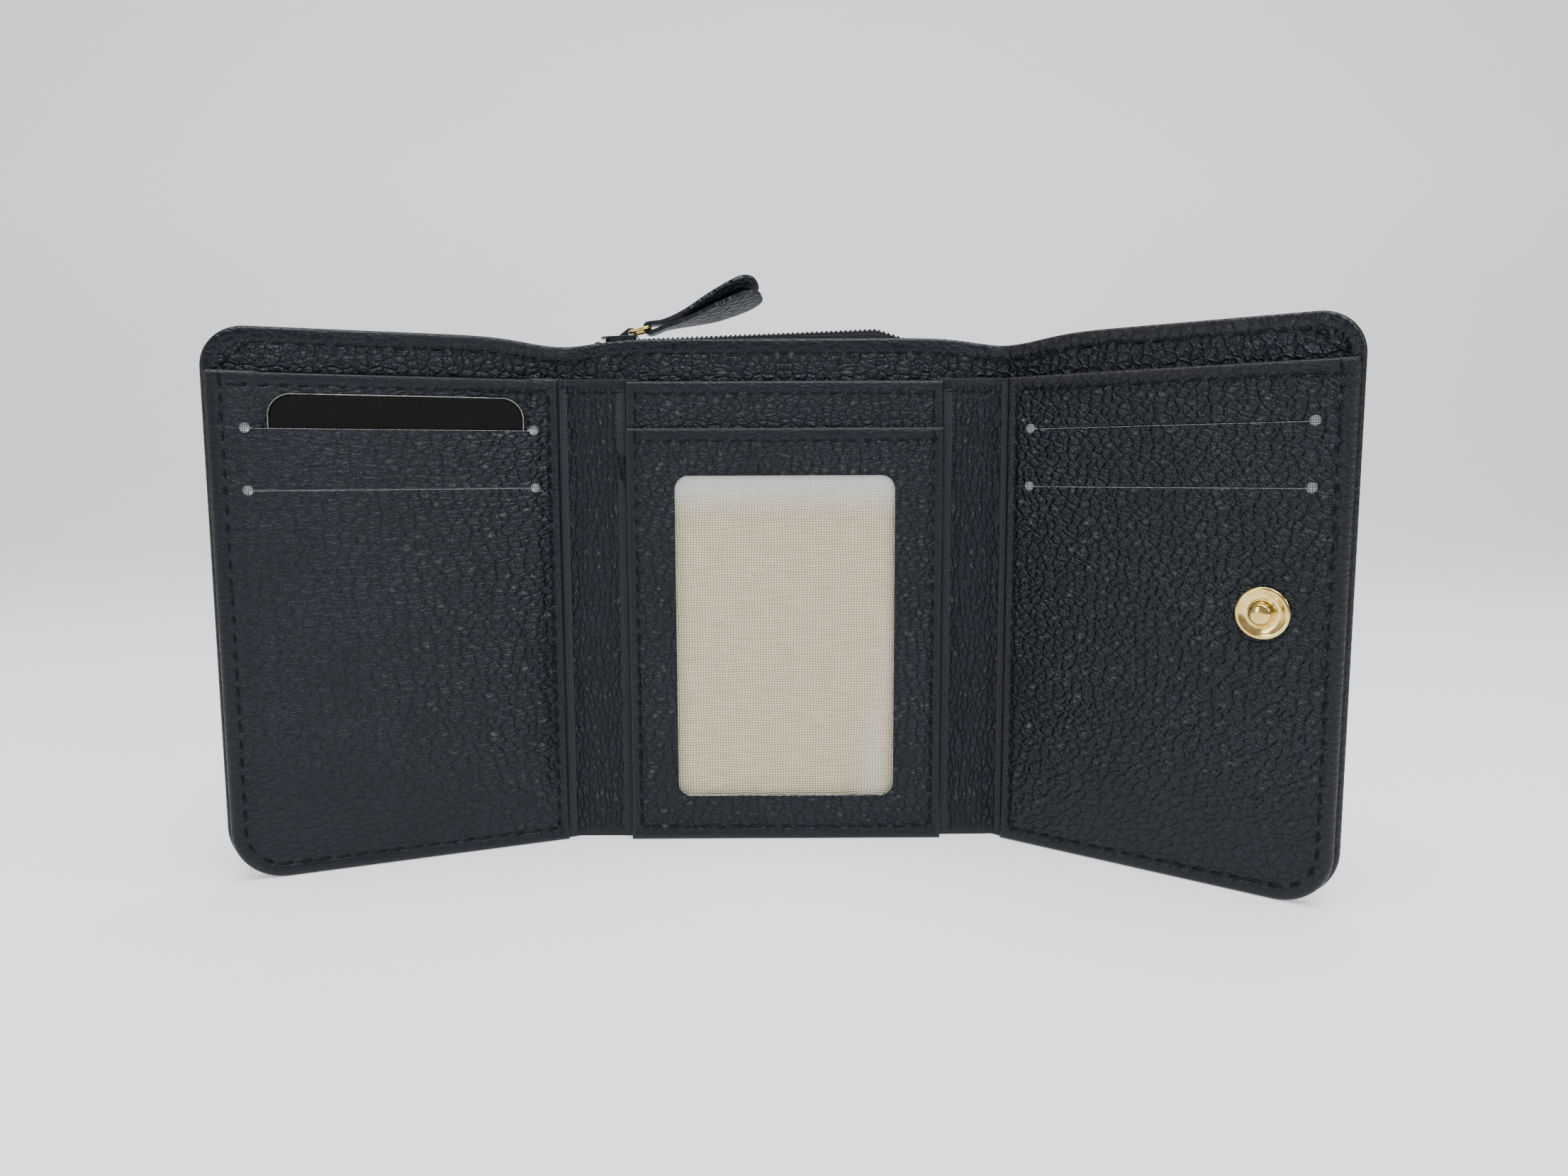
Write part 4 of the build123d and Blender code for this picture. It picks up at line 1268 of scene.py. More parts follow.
@dataclass
class CentrePockets:
    """Back tier, window tier with its film, cream cloth behind it, and the centre's stitching."""

    finish: Finishes
    tier_top: float = 111.0
    window_tier_top: float = 100.0
    tier_front: float = 0.0
    window_front: float = -1.2
    leather: float = 0.8
    hem_back: float = 1.5
    hem_width: float = 6.0
    window: tuple = ((-26.15, 26.15), (10.8, 88.7))
    window_corner: float = 3.2
    cloth_front: float = 0.85
    cloth_thick: float = 0.15
    film_front: float = -0.38
    seam_in: float = 2.4
    unevenness: float = 0.05
    hem: Hem = Hem()
    low: Hem = Hem(puff=0.18, pull=0.24)

    def edge(self, a: float, z: float, top: float) -> float:
        """Distance to a tier's edge, counted so that its seams lie at the same distance."""
        out = LAYOUT.centre_half - abs(a)
        side = out + (self.hem.seam - self.seam_in if out > 0.8 else 0)
        return max(0.0, min(side, z, top - z))

    def tier_face(self, a: float, z: float) -> float:
        """Depth of the back tier's face."""
        return self.tier_front + self.low.at(self.edge(a, z, self.tier_top), a)

    def window_face(self, a: float, z: float) -> float:
        """Depth of the window tier's face, slightly crowned beside the window."""
        e = self.edge(a, z, self.window_tier_top)
        (a0, a1), (z0, z1) = self.window
        off = math.hypot(max(a0 - a, 0, a - a1), max(z0 - z, 0, z - z1))
        lip = 0.28 * (1 - ease(off, 0.0, 1.6))
        upright = LAYOUT.centre_half - abs(a) < min(z, self.window_tier_top - z)
        uneven = self.unevenness * ripple(a, z, 41.0, 15.0)
        return self.window_front + self.hem.at(e, z if upright else a) + lip + uneven

    def window_rear(self, a: float, z: float) -> float:
        """Depth of the window tier's back: thick at its hems."""
        plain = self.window_front + self.leather
        e = min(LAYOUT.centre_half - abs(a), z)
        top = self.window_tier_top - z
        thick = (1 - ease(e, self.hem_width - 1, self.hem_width)) * (0.0 - plain)
        return plain + max(thick, (1 - ease(top, 4.5, 6.0)) * (-0.1 - plain))

    def tier_rear(self, a: float, z: float) -> float:
        """Depth of the back tier's back: thick at its hems."""
        hemmed = self.edge(a, z, self.tier_top) < self.hem_width
        return self.hem_back if hemmed else self.leather

    def build(self) -> None:
        """Builds the tiers, film, cloth and thread."""
        place, half = LAYOUT.place(Side.RIGHT), LAYOUT.centre_half
        pocket = Opening((-half + self.hem_width, half - self.hem_width), (self.hem_width, 89.5))
        tier = Sheet(
            "back_tier_leather",
            (-half, half),
            (0.0, self.tier_top),
            self.tier_face,
            self.tier_rear,
            openings=(pocket,),
            hem=2.0,
            keep=((), (self.tier_top - 5.9, self.tier_top - 6.1)),
        ).build(place, self.finish["tier_leather"])
        window = Sheet(
            "window_tier_leather",
            (-half, half),
            (0.0, self.window_tier_top),
            self.window_face,
            self.window_rear,
            openings=(Opening(*self.window, corner=self.window_corner),),
            hem=2.2,
            roll=0.6,
            step=1.1,
        ).build(place, self.finish["tier_leather"], self.finish["window_edge"])
        for piece, node in ((tier, "back_tier_panel"), (window, "window_panel")):
            settle(piece, "centre", "inner_leather", node)
        self.build_window(place, half)
        self.sew(place, half)

    def build_window(self, place: Placing, half: float) -> None:
        """The clear film and the cloth behind it."""
        inner = half - self.hem_width
        film = Sheet(
            "clear_film",
            (-inner + 0.3, inner - 0.3),
            (self.hem_width + 0.3, self.window_tier_top - self.hem_width - 0.3),
            lambda a, z: self.film_front + 0.16 * abs(ripple(a, z * 0.4, 51.0, 9.0)),
            lambda a, z: self.film_front + 0.1 + 0.16 * abs(ripple(a, z * 0.4, 51.0, 9.0)),
            roll=0.04,
            fine=(0.0, 0.04),
            step=1.2,
        ).build(place, self.finish["clear_film_sheet"])
        settle(film, "centre", "clear_film", "window_film")
        inset, top = inner - 0.2, self.tier_top - 0.5 - self.hem_width
        cloth = Sheet(
            "cream_cloth",
            (-inset, inset),
            (self.hem_width + 0.2, top),
            lambda a, z: self.cloth_front + 0.12 * ripple(a, z, 61.0, 16.0),
            lambda a, z: self.cloth_front + self.cloth_thick + 0.12 * ripple(a, z, 61.0, 16.0),
            roll=0.05,
            fine=(0.0, 0.05),
            step=1.4,
        ).build(place, self.finish["cream_weave"])
        settle(cloth, "centre", "cream_cloth", "id_pocket_cloth")

    def sew(self, place: Placing, half: float) -> None:
        """Stitches of both tiers, and of the facing and shell behind them."""
        shell = Shell(self.finish)
        x, top, high = half - self.seam_in, self.window_tier_top, LAYOUT.height - shell.hem.seam
        work = Needlework("centre_seams", place)
        for sign in (-1, 1):
            work.sew([(sign * x, top), (sign * x, 3.0)], self.window_face)
            work.sew([(sign * x, self.tier_top - 0.5), (sign * x, top + 0.5)], self.tier_face)
        rows = (
            (3.0, self.window_face),
            (top - 3.0, self.window_face),
            (self.tier_top - 3.0, self.tier_face),
        )
        for z, face in rows:
            work.sew([(-x + 1.5, z), (x - 1.5, z)], face)
        front, rear = (lambda a, z: shell.front(abs(a), z)), (lambda a, z: shell.back(abs(a), z))
        swayed = work.over(shell)
        swayed.sew([(-half, high), (half, high)], front)
        swayed.sew([(-half, shell.hem.seam), (half, shell.hem.seam)], rear, outward=1)
        settle(work.finish(self.finish["black_thread"]), "centre", "thread", "centre_thread")


@dataclass
class Card:
    """Matte card standing in the upper left slot."""

    finish: Finishes
    width: float = 54.0
    tall: float = 85.6
    thick: float = 0.34
    corner: float = 5.0
    inner: float = 8.3
    top: float = 106.8
    depth: float = 0.22
    rim: float = 0.15

    def build(self) -> None:
        """Builds the card."""
        start, rings = LAYOUT.wing_start + self.inner, (self.rim, 0.7, 1.4, 2.2, 3.1, 4.1)
        card = Sheet(
            "matte_card",
            (start, start + self.width),
            (self.top - self.tall, self.top),
            lambda a, z: self.depth,
            lambda a, z: self.depth + self.thick,
            rims=(Rim.CUT,) * 4,
            corners=(self.corner,) * 4,
            keep=tuple(
                tuple(low + s for s in rings) + tuple(high - s for s in rings)
                for low, high in ((start, start + self.width), (self.top - self.tall, self.top))
            ),
            step=6.0,
        ).build(LAYOUT.place(Side.LEFT), self.finish["card_face"], self.finish["card_edge"])
        uv = card.data.uv_layers["flat"].data
        for polygon in card.data.polygons:
            spots = [uv[k].uv / UV_PER_MM for k in polygon.loop_indices]
            low = self.top - self.tall
            out = min(self.from_edge(u % REAR_SHIFT - start, v - low) for u, v in spots)
            across = abs(polygon.normal.dot(self.facing()))
            polygon.material_index = 0 if across > 0.5 and out > self.rim / 2 else 1
            polygon.use_smooth = False
        settle(card, "card", "card", "display_card")

    def from_edge(self, a: float, z: float) -> float:
        """Distance to the card's edge from a point counted from its corner."""
        p, q, r = min(a, self.width - a), min(z, self.tall - z), self.corner
        return min(p, q, r - math.hypot(r - p, r - q)) if p < r and q < r else min(p, q)

    def facing(self) -> Vector:
        """Direction that the left wing faces."""
        place = LAYOUT.place(Side.LEFT)
        return (place(90, 0, 0) - place(90, 1, 0)).normalized()


@dataclass
class Snaps:
    """Press stud on the right wing and its socket on the outside of the left wing."""

    finish: Finishes
    height: float = 60.3
    stud_along: float = 58.5
    socket_along: float = 25.84
    steps: int = 56
    stud_outline: tuple = (
        *((1.5, 1.0), (1.55, 0.0), (5.2, 0.0), (5.42, 0.1), (5.5, 0.3), (5.42, 0.5), (5.2, 0.6)),
        *((4.95, 0.64), (4.7, 0.62), (4.3, 0.42), (3.8, 0.28), (3.4, 0.22), (3.05, 0.22)),
        *((2.98, 0.5), (2.9, 0.6), (2.78, 0.64), (2.66, 0.6), (2.6, 0.46), (2.4, 0.24)),
        *((2.0, 0.24), (1.88, 0.5), (1.86, 1.5), (2.1, 1.75), (2.25, 2.1), (2.18, 2.45)),
        *((1.9, 2.68), (1.5, 2.84), (1.0, 2.95), (0.5, 3.0), (0.0, 3.0)),
    )
    socket_outline: tuple = (
        *((1.5, 0.3), (1.55, 0.0), (5.05, 0.0), (5.22, 0.08), (5.25, 0.2), (5.22, 0.32)),
        *((5.05, 0.4), (4.6, 0.44), (4.48, 0.8), (4.3, 1.35), (4.0, 1.8), (3.6, 2.1)),
        *((3.3, 2.19), (3.0, 2.14), (2.8, 1.98), (2.75, 1.8), (2.75, 0.5), (2.6, 0.36)),
        (0.0, 0.35),
    )

    def turned(
        self, name: str, side: Side, along: float, depth: float, outward: int, outline: tuple
    ) -> None:
        """Turns a metal part on its axis.

        Args:
            name: the CAD node that it stands for.
            side: the wing that it is set in.
            along: its place along the wing.
            depth: depth of the face that it sits on.
            outward: -1 on the inside of the wing, 1 on its outside.
            outline: radius and height of each point of its section.
        """
        place, a = LAYOUT.place(side), LAYOUT.wing_start + along
        base = place(a, depth, self.height)
        up = (place(a, depth + outward, self.height) - base).normalized()
        across = Vector((0, 0, 1))
        bm = bmesh.new()
        points = [bm.verts.new(base + (across * r + up * h) * MM) for r, h in outline]
        edges = [bm.edges.new(pair) for pair in zip(points, points[1:])]
        bmesh.ops.spin(
            bm,
            geom=points + edges,
            cent=base,
            axis=up,
            angle=2 * math.pi,
            steps=self.steps,
            use_merge=True,
        )
        bmesh.ops.remove_doubles(bm, verts=bm.verts[:], dist=1e-6)
        bmesh.ops.holes_fill(bm, edges=bm.edges[:], sides=self.steps)
        bmesh.ops.recalc_face_normals(bm, faces=bm.faces[:])
        for f in bm.faces:
            f.smooth = len(f.verts) < 5
        for e in bm.edges:
            e.smooth = e.calc_face_angle(0) < math.radians(50)
        piece = as_object(bm, f"gilt_{name}", self.finish["pale_gilt"])
        settle(piece, f"{side.word}_wing", "gold_metal", name)

    def build(self) -> None:
        """Builds both halves."""
        self.turned("snap_stud", Side.RIGHT, self.stud_along, 0.0, -1, self.stud_outline)
        self.turned("snap_socket", Side.LEFT, self.socket_along, 3.6, 1, self.socket_outline)


@dataclass
class CoinPocket:
    """Zipped pocket behind the centre: back panel, gussets, coils and seams."""

    finish: Finishes
    half: float = 39.4
    panel_front: float = 10.4
    leather: float = 0.8
    tall: float = 119.5
    shell_back: float = 3.62
    turn_radius: float = 1.4
    belly: float = 0.5
    unevenness: float = 0.12
    hem: Hem = Hem(puff=0.16, pull=0.2)
    zip_depth: float = 7.1
    zip_start: Flat = (-45.1, 120.05)
    zip_slope: float = 2.2
    zip_crest: float = 22.0
    zip_end: Flat = (38.0, 117.5)
    coil_run: Flat = (-35.0, 34.0)
    coil_gap: float = 0.8
    coil_size: Flat = (0.8, 0.78)
    coil_wire: float = 0.27
    coil_lift: float = 0.24
    coil_pitch: float = 1.15

    def zip_height(self, x: float) -> float:
        """Height of the zip's line."""
        run = min(x, self.zip_crest)
        z = self.zip_start[1] + (run - self.zip_start[0]) * math.tan(math.radians(self.zip_slope))
        if x > self.zip_crest:
            z += (self.zip_end[1] - z) * (x - self.zip_crest) / (self.zip_end[0] - self.zip_crest)
        return z

    def wrapped(self, a: float, depth: float, z: float) -> Vector:
        """Places a point of the back panel, whose bottom is turned in under the pocket."""
        r, back = self.turn_radius, self.panel_front + self.leather
        inset = back - depth
        if z >= r:
            return Vector((a, depth, z)) * MM
        arc = r * math.pi / 2
        if z > r - arc:
            t = (r - z) / r
            reach = r - inset
            return Vector((a, back - r + reach * math.cos(t), r - reach * math.sin(t))) * MM
        return Vector((a, back - r - (r - arc - z), inset)) * MM

    def face(self, a: float, z: float) -> float:
        """Depth of the back panel's outer face."""
        e = min(self.half - abs(a), self.tall - z)
        upright = math.sin(math.pi * min(1, max(0, z / self.tall)))
        belly = self.belly * upright * (1 - (a / self.half) ** 2)
        uneven = self.unevenness * ripple(a, z, 71.0, 22.0)
        return self.panel_front + self.leather - self.hem.at(e) + belly + uneven

    def build(self) -> None:
        """Builds the pocket."""
        flat_bottom = self.turn_radius - self.turn_radius * math.pi / 2
        turned_in = self.panel_front + self.leather - self.turn_radius - self.shell_back
        bottom = flat_bottom - turned_in
        panel = Sheet(
            "coin_pocket_leather",
            (-self.half, self.half),
            (bottom, self.tall),
            lambda a, z: self.face(a, z) - self.leather,
            self.face,
            (Rim.ROLLED, Rim.ROLLED, Rim.CUT, Rim.ROLLED),
            roll=0.38,
            keep=((), tuple(flat_bottom + k * 0.44 for k in range(6))),
            hem=2.2,
        ).build(self.wrapped, self.finish["shell_leather"])
        settle(panel, "centre", "outer_leather", "coin_pocket_panel")
        work = Needlework("coin_pocket_seams", self.wrapped)
        x = self.half - 3.0
        work.sew([(-x, self.tall - 3), (-x, 4), (x, 4), (x, self.tall - 3)], self.face, outward=1)
        work.sew([(-x + 1, self.tall - 3), (x - 1, self.tall - 3)], self.face, outward=1)
        thread = work.finish(self.finish["black_thread"])
        settle(thread, "centre", "thread", "coin_pocket_thread")
        for side in Side:
            self.gusset(side)
        for row, sign in (("front", -1), ("rear", 1)):
            self.coil(row, sign)

    def gusset(self, side: Side) -> None:
        """One side gusset, pleated inwards with a soft crease."""
        start, end = self.shell_back + 0.3, self.panel_front - 0.2
        pleat, low, high = 4.0, 0.9, 104.9
        outer = self.half - 0.4

        def pleated(a: float, depth: float, z: float) -> Vector:
            """Places a point of the gusset; along runs from the shell to the back panel."""
            t = (a - start) / (end - start)
            sink = pleat * (1 - abs(2 * t - 1) ** 1.3)
            return Vector((side.value * (outer - sink + depth), a, z)) * MM

        gusset = Sheet(
            f"{side.word}_gusset",
            (start, end),
            (low, high),
            lambda a, z: -0.17 + 0.12 * ripple(a, z * 0.3, 81.0, 5.0),
            lambda a, z: 0.17 + 0.12 * ripple(a, z * 0.3, 81.0, 5.0),
            roll=0.08,
            fine=(0.0, 0.08),
            step=0.5,
        ).build(pleated, self.finish["gusset_weave"])
        settle(gusset, "centre", "lining_cloth", f"coin_gusset_{side.word}")

    def coil(self, row: str, sign: int) -> None:
        """One row of the zip's coil, as a wire wound along the tape's edge."""
        first, last = self.coil_run
        turns = int((last - first) / self.coil_pitch)
        steps = 12
        wide, tall = (size - self.coil_wire for size in self.coil_size)
        bm = bmesh.new()
        aside = Matrix.Translation((0, 1, 0))
        bmesh.ops.create_circle(bm, segments=6, radius=self.coil_wire, matrix=aside)
        bmesh.ops.spin(
            bm,
            geom=bm.verts[:] + bm.edges[:],
            cent=(0, 0, 0),
            axis=(1, 0, 0),
            dvec=((last - first) / (turns * steps), 0, 0),
            angle=2 * math.pi * turns,
            steps=turns * steps,
        )
        bmesh.ops.holes_fill(bm, edges=bm.edges[:], sides=6)
        middle = self.zip_depth + sign * (self.coil_gap / 2 + self.coil_size[0])
        shift = 0.0 if sign < 0 else self.coil_pitch / 2
        for v in bm.verts:
            ring = math.hypot(v.co.y, v.co.z)
            y, z = (v.co.y / ring, v.co.z / ring)
            swell = ring - 1.0
            x = min(max(v.co.x + first + shift, first), last)
            height = self.zip_height(x) + self.coil_lift + z * (tall + swell)
            v.co = Vector((x, middle + y * (wide + swell), height)) * MM
        bmesh.ops.recalc_face_normals(bm, faces=bm.faces[:])
        for f in bm.faces:
            f.smooth = True
        wound = as_object(bm, f"wound_coil_{row}", self.finish["nylon_coil"])
        settle(wound, "centre", "zip_coil", f"zip_coil_{row}")


@dataclass
class Slider:
    """Slider of the zip: plates over and under the coils, a divider, rims and the ring's bail."""

    finish: Finishes
    at_x: float = -39.5
    half: Flat = (4.5, 2.8)
    upper: Flat = (1.3, 1.75)
    lower: Flat = (-1.5, -0.9)
    pivot: Flat = (2.9, 2.55)
    hole: float = 0.74
    bail_half: float = 0.9
    nose: float = 2.5
    mouth: float = 1.0
    rim_front: float = 0.35
    sink: float = 0.2

    def block(self, bm: Shape, x: Flat, y: Flat, z: Flat, nose: float, soft: float) -> None:
        """Adds a block of the slider.

        Args:
            bm: the mesh that it goes into.
            x: where it lies along the zip.
            y: where it lies across the zip.
            z: where it lies above the coils' line.
            nose: how far its closed end is rounded, or 0 for a plain block.
            soft: how far its edges are rounded.
        """
        made = bmesh.ops.create_cube(bm, size=1)["verts"]
        for v in made:
            v.co = [low + (c + 0.5) * (high - low) for c, (low, high) in zip(v.co, (x, y, z))]
        if nose:
            upright = [e for e in bm.edges if abs(e.verts[0].co.z - e.verts[1].co.z) > 0.01]
            closed = [e for e in upright if e.verts[0].co.x < 0]
            open_end = [e for e in upright if e.verts[0].co.x > 0]
            for ends, offset in ((closed, nose), (open_end, self.mouth)):
                bmesh.ops.bevel(
                    bm, geom=ends, offset=offset, segments=6, profile=0.5, affect="EDGES"
                )
        high = [e for e in bm.edges if min(v.co.z for v in e.verts) > z[1] - 0.01]
        rims = [e for e in high if e.calc_face_angle(0) > 1.0]
        bmesh.ops.bevel(bm, geom=rims, offset=soft, segments=2, profile=0.5, affect="EDGES")

    def build(self, zip_line: Vector, slope: float) -> None:
        """Builds the slider.

        Args:
            zip_line: the point of the coils' line under its middle, in millimetres.
            slope: slope of the zip in radians.
        """
        half_x, half_y = self.half
        whole_x, whole_y = (-half_x, half_x), (-half_y, half_y)
        rim_x = (-half_x + 2.5, half_x - 0.9)
        inner, outer, roof = half_y - 0.55, half_y - 0.05, self.upper[0] + self.sink
        whole = bmesh.new()
        for x, y, z, nose in (
            (whole_x, whole_y, self.lower, self.nose),
            (whole_x, whole_y, self.upper, self.nose),
            (rim_x, (inner, outer), (self.rim_front, roof), 0.0),
            (rim_x, (-outer, -inner), (self.rim_front, roof), 0.0),
            ((-half_x + 1.1, -half_x + 3.3), (-0.3, 0.3), (self.lower[1] - self.sink, roof), 0.0),
        ):
            part = bmesh.new()
            self.block(part, x, y, z, nose, 0.18 if nose else 0.1)
            scrap = bpy.data.meshes.new("part")
            part.to_mesh(scrap)
            part.free()
            whole.from_mesh(scrap)
            bpy.data.meshes.remove(scrap)
        self.bail(whole)
        turn = Matrix.Rotation(-slope, 4, "Y")
        bmesh.ops.transform(whole, matrix=Matrix.Translation(zip_line) @ turn, verts=whole.verts[:])
        bmesh.ops.scale(whole, vec=(MM, MM, MM), verts=whole.verts[:])
        bmesh.ops.recalc_face_normals(whole, faces=whole.faces[:])
        for e in whole.edges:
            e.smooth = e.calc_face_angle(0) < math.radians(35)
        for f in whole.faces:
            f.smooth = True
        piece = as_object(whole, "enamel_slider", self.finish["black_enamel"])
        settle(piece, "slider", "zip_coil", "zip_slider")

    def bail(self, bm: Shape) -> None:
        """Adds the bail: a low arch with a round hole for the ring's wire."""
        outline = ((-0.6, 1.6), (1.4, 3.0), (2.2, 3.6), (3.5, 3.6), (4.1, 3.0), (4.1, 1.6))
        side = -self.bail_half
        corners = [bm.verts.new((x, side, z)) for x, z in outline]
        edges = [bm.edges.new(pair) for pair in zip(corners, corners[1:] + corners[:1])]
        spot = Matrix.Translation((self.pivot[0], side, self.pivot[1]))
        place = spot @ Matrix.Rotation(math.pi / 2, 4, "X")
        ring = bmesh.ops.create_circle(bm, segments=16, radius=self.hole, matrix=place)["verts"]
        edges += [e for e in bm.edges if e.verts[0] in ring]
        filled = bmesh.ops.triangle_fill(bm, edges=edges)["geom"]
        faces = [g for g in filled if isinstance(g, bmesh.types.BMFace)]
        swept = bmesh.ops.extrude_face_region(bm, geom=faces)["geom"]
        moved = [g for g in swept if isinstance(g, bmesh.types.BMVert)]
        bmesh.ops.translate(bm, vec=(0, 2 * self.bail_half, 0), verts=moved)


@dataclass
class Pull:
    """Leather tab of the zip pull: one strip folded round the ring's bar into two paddles."""

    finish: Finishes
    ring_lift: float = 12.0
    ring_length: float = 4.6
    thick: float = 0.9
    loop: float = 1.07
    neck: float = 4.6
    paddle: float = 10.0
    length: float = 28.0
    upper_lift: float = 8.6
    lower_lift: float = 4.6
    bow: float = 1.5
    pinch: float = 0.5
    upper_twist: float = 30.0
    lower_twist: float = 15.0

    def width(self, t: float) -> float:
        """Half the strip's width at a share of a leaf's length."""
        grown = self.neck / 2 + (self.paddle - self.neck) / 2 * ease(t, 0.1, 0.8)
        if t > 0.82:
            grown *= math.sqrt(max(0.0, 1 - ((t - 0.82) / 0.18) ** 2))
        return grown

    def path(self, s: float) -> tuple[float, float, float, float]:
        """Line of the strip seen edge on.

        Args:
            s: distance along it from the middle of the loop, negative on the lower leaf.

        Returns:
            X, height, and direction of the outward side, with the share of the leaf's length.
        """
        up, down = math.radians(90 + self.upper_lift), math.radians(270 + self.lower_lift)
        half = self.loop * (down - up) / 2
        middle = (up + down) / 2
        if abs(s) <= half:
            angle = middle - s / self.loop
            return self.loop * math.cos(angle), self.loop * math.sin(angle), angle, 0.0
        angle, rest = (up, s - half) if s > 0 else (down, -s - half)
        t = rest / self.length
        run = angle - math.pi / 2 if s > 0 else angle + math.pi / 2
        bend = (self.bow if s > 0 else -0.7 * self.bow) * math.sin(math.pi * t) * 0.6
        inward = bend + self.pinch * ease(t, 0.0, 0.14)
        x = (self.loop - inward) * math.cos(angle) + rest * math.cos(run)
        z = (self.loop - inward) * math.sin(angle) + rest * math.sin(run)
        return x, z, angle, t

    def build(self) -> None:
        """Builds the tab."""
        pivot = Vector(JOINTS["pull_swing"]["pos_m"])
        lift = math.radians(self.ring_lift)
        out = Vector((math.cos(lift), 0, math.sin(lift)))
        up = Vector((-math.sin(lift), 0, math.cos(lift)))
        bar = pivot + out * self.ring_length * MM
        arc = math.radians(270 + self.lower_lift - 90 - self.upper_lift) * self.loop / 2
        reach = arc + self.length

        def folded(a: float, depth: float, z: float) -> Vector:
            """Places a point: along the strip, through it, and across it from -1 to 1."""
            x, h, angle, t = self.path(a)
            x, h = x + depth * math.cos(angle), h + depth * math.sin(angle)
            side = z * self.width(t)
            cup = 0.5 * (side / 5) ** 2 * t
            twist = self.upper_twist if a > 0 else self.lower_twist
            turn = math.radians(twist) * ease(t, 0.08, 0.6)
            middle = out * (x - depth * math.cos(angle)) + up * (h - depth * math.sin(angle) + cup)
            through = out * math.cos(angle) + up * math.sin(angle)
            across = Vector((0, 1, 0))
            turned = Matrix.Rotation(-turn, 3, out)
            return bar + (middle + turned @ (through * depth + across * side)) * MM

        rows = tuple(k / 8 for k in range(-7, 8))
        near_tip = (0.05, 0.2, 0.45, 0.8, 1.3, 2.0, 3.0, 4.0)
        tip = tuple(sign * (reach - d) for sign in (-1, 1) for d in near_tip)
        tab = Sheet(
            "leather_tab",
            (-reach + 0.02, reach - 0.02),
            (-1.0, 1.0),
            lambda a, z: -self.thick / 2,
            lambda a, z: self.thick / 2,
            rims=(Rim.CUT,) * 4,
            keep=(tip + tuple(arc * k / 6 for k in range(-6, 7)), rows),
            step=0.8,
        ).build(folded, self.finish["worn_in_leather"], self.finish["tab_edge"])
        uv = tab.data.uv_layers["flat"]
        for loop in uv.data:
            loop.uv.y *= 5
        settle(tab, "pull", "outer_leather", "pull_tab")


@dataclass(frozen=True)
class KeptNodes:
    """CAD nodes that stay as they are, each with its finish."""

    finish: Finishes
    nodes: dict = field(
        default_factory=lambda: {
            "lining_weave": [
                f"note_{layer}_{section}"
                for layer in ("lining", "wall")
                for section in ("centre", "left_wing", "right_wing")
            ],
            "grey_board": [f"stiffener_{name}" for name in ("centre", "left_wing", "right_wing")],
            "pocket_weave": [
                f"{side.word}_{level}_pocket_cloth" for side in Side for level in ("upper", "lower")
            ],
            "tape_weave": ["zip_tape_front", "zip_tape_rear"],
            "pale_gilt": ["pull_ring", "zip_stops", "snap_stud_rivet", "snap_socket_rivet"],
        }
    )

    def dress(self) -> None:
        """Gives each kept node its material."""
        for name, nodes in self.nodes.items():
            for node in nodes:
                mesh = frame["nodes"][node].data
                mesh.materials.clear()
                mesh.materials.append(self.finish[name])
                LOG.info("%s keeps its shape, in %s", node, name)


# ---------------------------------------------------------------- studio


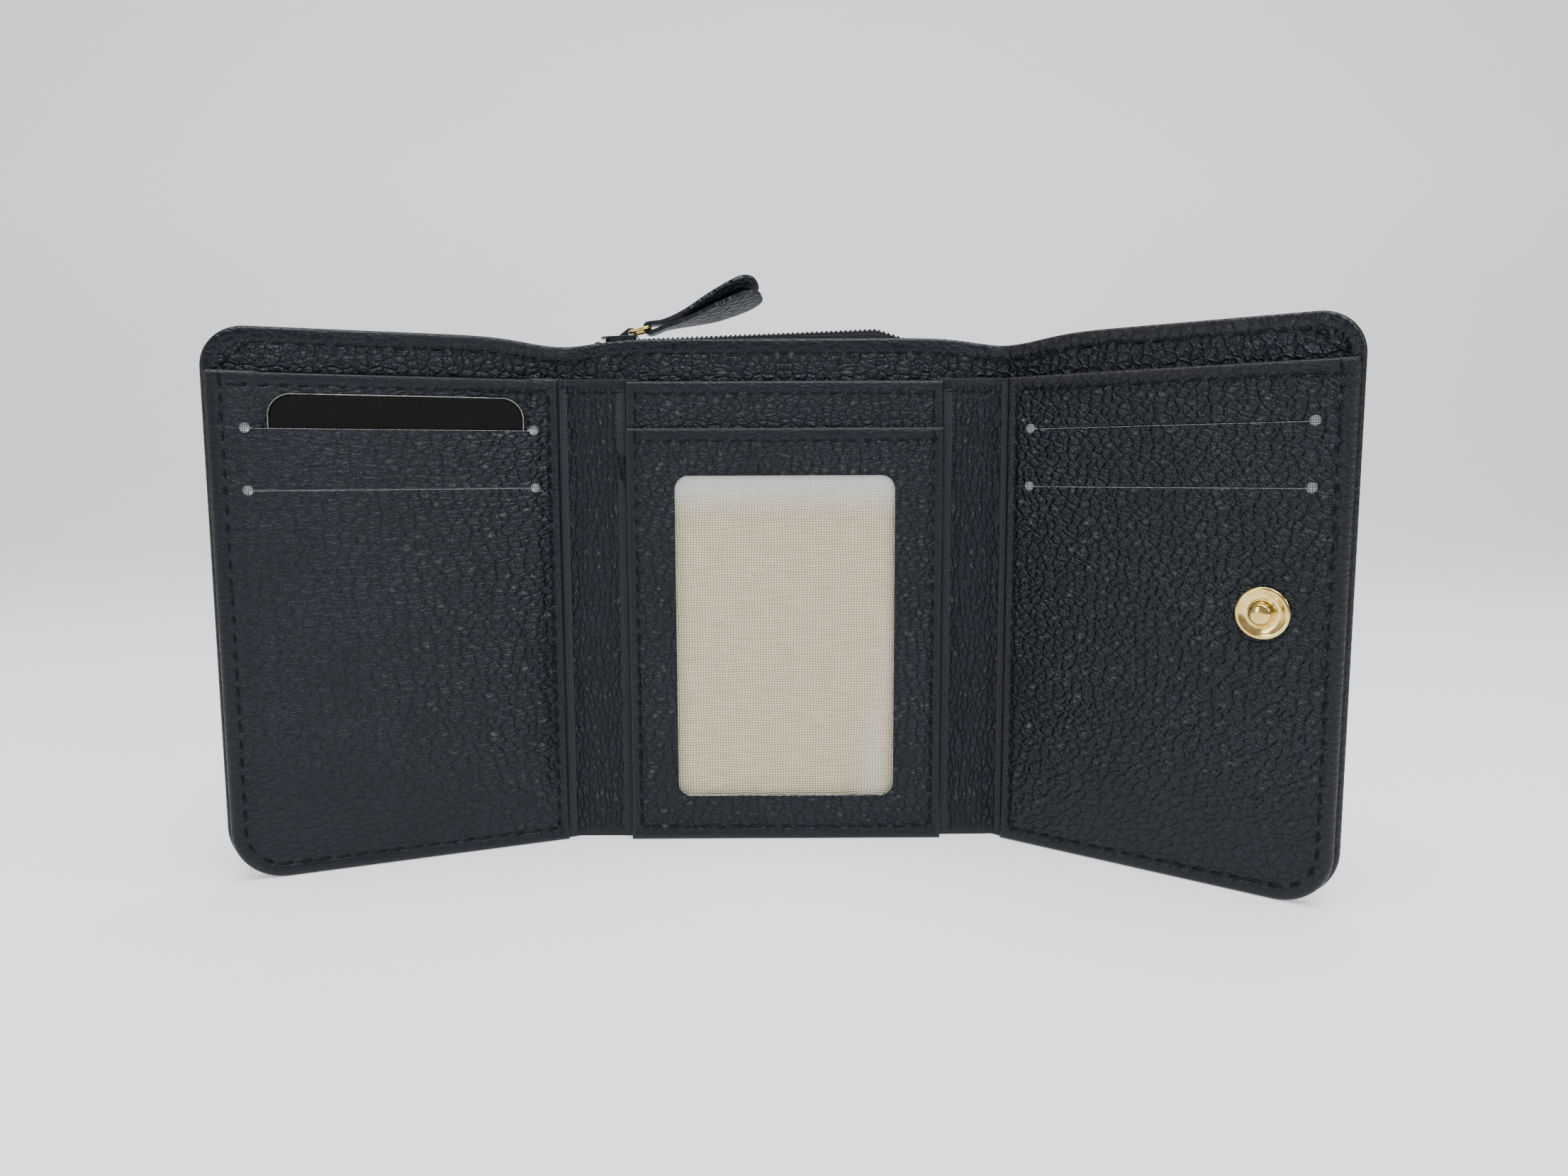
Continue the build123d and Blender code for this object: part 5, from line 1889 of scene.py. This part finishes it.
@dataclass(frozen=True)
class Studio:
    """Pale sweep, soft lights and the camera."""

    camera_at: tuple = (-1.09, -256.4, 89.98)
    pitch: float = 6.27
    yaw: float = 0.18
    roll: float = -0.21
    lens: float = 24.63
    sweep_half: float = 2200.0
    sweep_back: float = 900.0
    sweep_round: float = 500.0

    def floor(self) -> None:
        """A pale floor that curves up behind the wallet."""
        bm = bmesh.new()
        bmesh.ops.create_grid(bm, x_segments=2, y_segments=90, size=self.sweep_half)
        for v in bm.verts:
            over = v.co.y - self.sweep_back
            if over > 0:
                t = min(over / self.sweep_round, math.pi / 2)
                straight = max(0.0, over - self.sweep_round * math.pi / 2)
                v.co.y = self.sweep_back + self.sweep_round * math.sin(t)
                v.co.z = self.sweep_round * (1 - math.cos(t)) + straight
        for v in bm.verts:
            v.co = v.co * MM
        for f in bm.faces:
            f.smooth = True
        pale, n, shader = start_material("pale_floor", Roughness=0.9, Emission_Strength=0.45)
        shader.inputs["Emission Color"].default_value = (1, 1, 1, 1)
        mottle = n.noise(n.add("ShaderNodeTexCoord").outputs["Object"], 6.0).outputs[0]
        paler = n.mix(mottle, (0.86, 0.86, 0.87, 1), (0.9, 0.9, 0.9, 1))
        n.link(paler, shader.inputs["Base Color"])
        as_object(bm, "studio_sweep", pale)

    def lamp(self, name: str, at: tuple, size: Flat, watts: float, tint: tuple) -> None:
        """One rectangular soft light that looks at the wallet."""
        light = bpy.data.lights.new(name, "AREA")
        light.shape, light.size, light.size_y = "RECTANGLE", size[0], size[1]
        light.energy, light.color = watts, tint
        holder = bpy.data.objects.new(name, light)
        holder.location = at
        aim = Vector((0, 0, 0.06)) - Vector(at)
        holder.rotation_euler = aim.to_track_quat("-Z", "Y").to_euler()
        bpy.context.scene.collection.objects.link(holder)

    def build(self) -> None:
        """Builds floor, lights and camera."""
        self.floor()
        world = bpy.data.worlds.new("studio")
        world.use_nodes = True
        world.node_tree.nodes["Background"].inputs["Color"].default_value = (1, 1, 1, 1)
        world.node_tree.nodes["Background"].inputs["Strength"].default_value = 0.38
        bpy.context.scene.world = world
        self.lamp("soft_top", (0.05, -0.1, 1.0), (1.0, 0.8), 11.0, (0.93, 0.96, 1.0))
        self.lamp("left_window", (-0.75, -0.55, 0.3), (0.16, 0.5), 1.6, (1.0, 0.95, 0.9))
        self.lamp("front_sky", (0.1, -0.75, 1.1), (0.6, 0.35), 9.0, (0.7, 0.85, 1.0))
        self.lamp("right_window", (0.6, -0.7, 0.55), (0.3, 0.3), 2.2, (0.88, 0.94, 1.0))
        pitch, yaw, roll = (math.radians(v) for v in (self.pitch, self.yaw, self.roll))
        level = Vector((math.sin(yaw), math.cos(yaw), 0)) * math.cos(pitch)
        ahead = level - Vector((0, 0, math.sin(pitch)))
        right = Vector((math.cos(yaw), -math.sin(yaw), 0))
        up = right.cross(ahead)
        tilted = right * math.cos(roll) + up * math.sin(roll)
        upright = up * math.cos(roll) - right * math.sin(roll)
        lens = bpy.data.cameras.new("camera")
        lens.lens, lens.sensor_width, lens.clip_start = self.lens, 36.0, 0.01
        camera = bpy.data.objects.new("camera", lens)
        camera.matrix_world = Matrix.Translation(Vector(self.camera_at) * MM) @ Matrix(
            (tilted, upright, -ahead)
        ).transposed().to_4x4()
        bpy.context.scene.collection.objects.link(camera)
        bpy.context.scene.camera = camera


def main() -> None:
    """Builds the wallet, section by section."""
    logging.basicConfig(level=logging.INFO, format="%(name)s: %(message)s")
    finish = finishes()
    Studio().build()
    Shell(finish).build()
    for side in Side:
        FoldStrip(finish, side).build()
        WingPanel(finish, side).build()
    CentrePockets(finish).build()
    Card(finish).build()
    Snaps(finish).build()
    pocket = CoinPocket(finish)
    pocket.build()
    slider = Slider(finish)
    middle = Vector((slider.at_x, pocket.zip_depth, pocket.zip_height(slider.at_x)))
    slider.build(middle, math.radians(pocket.zip_slope))
    Pull(finish).build()
    KeptNodes(finish).dress()


if __name__ == "__main__":
    main()
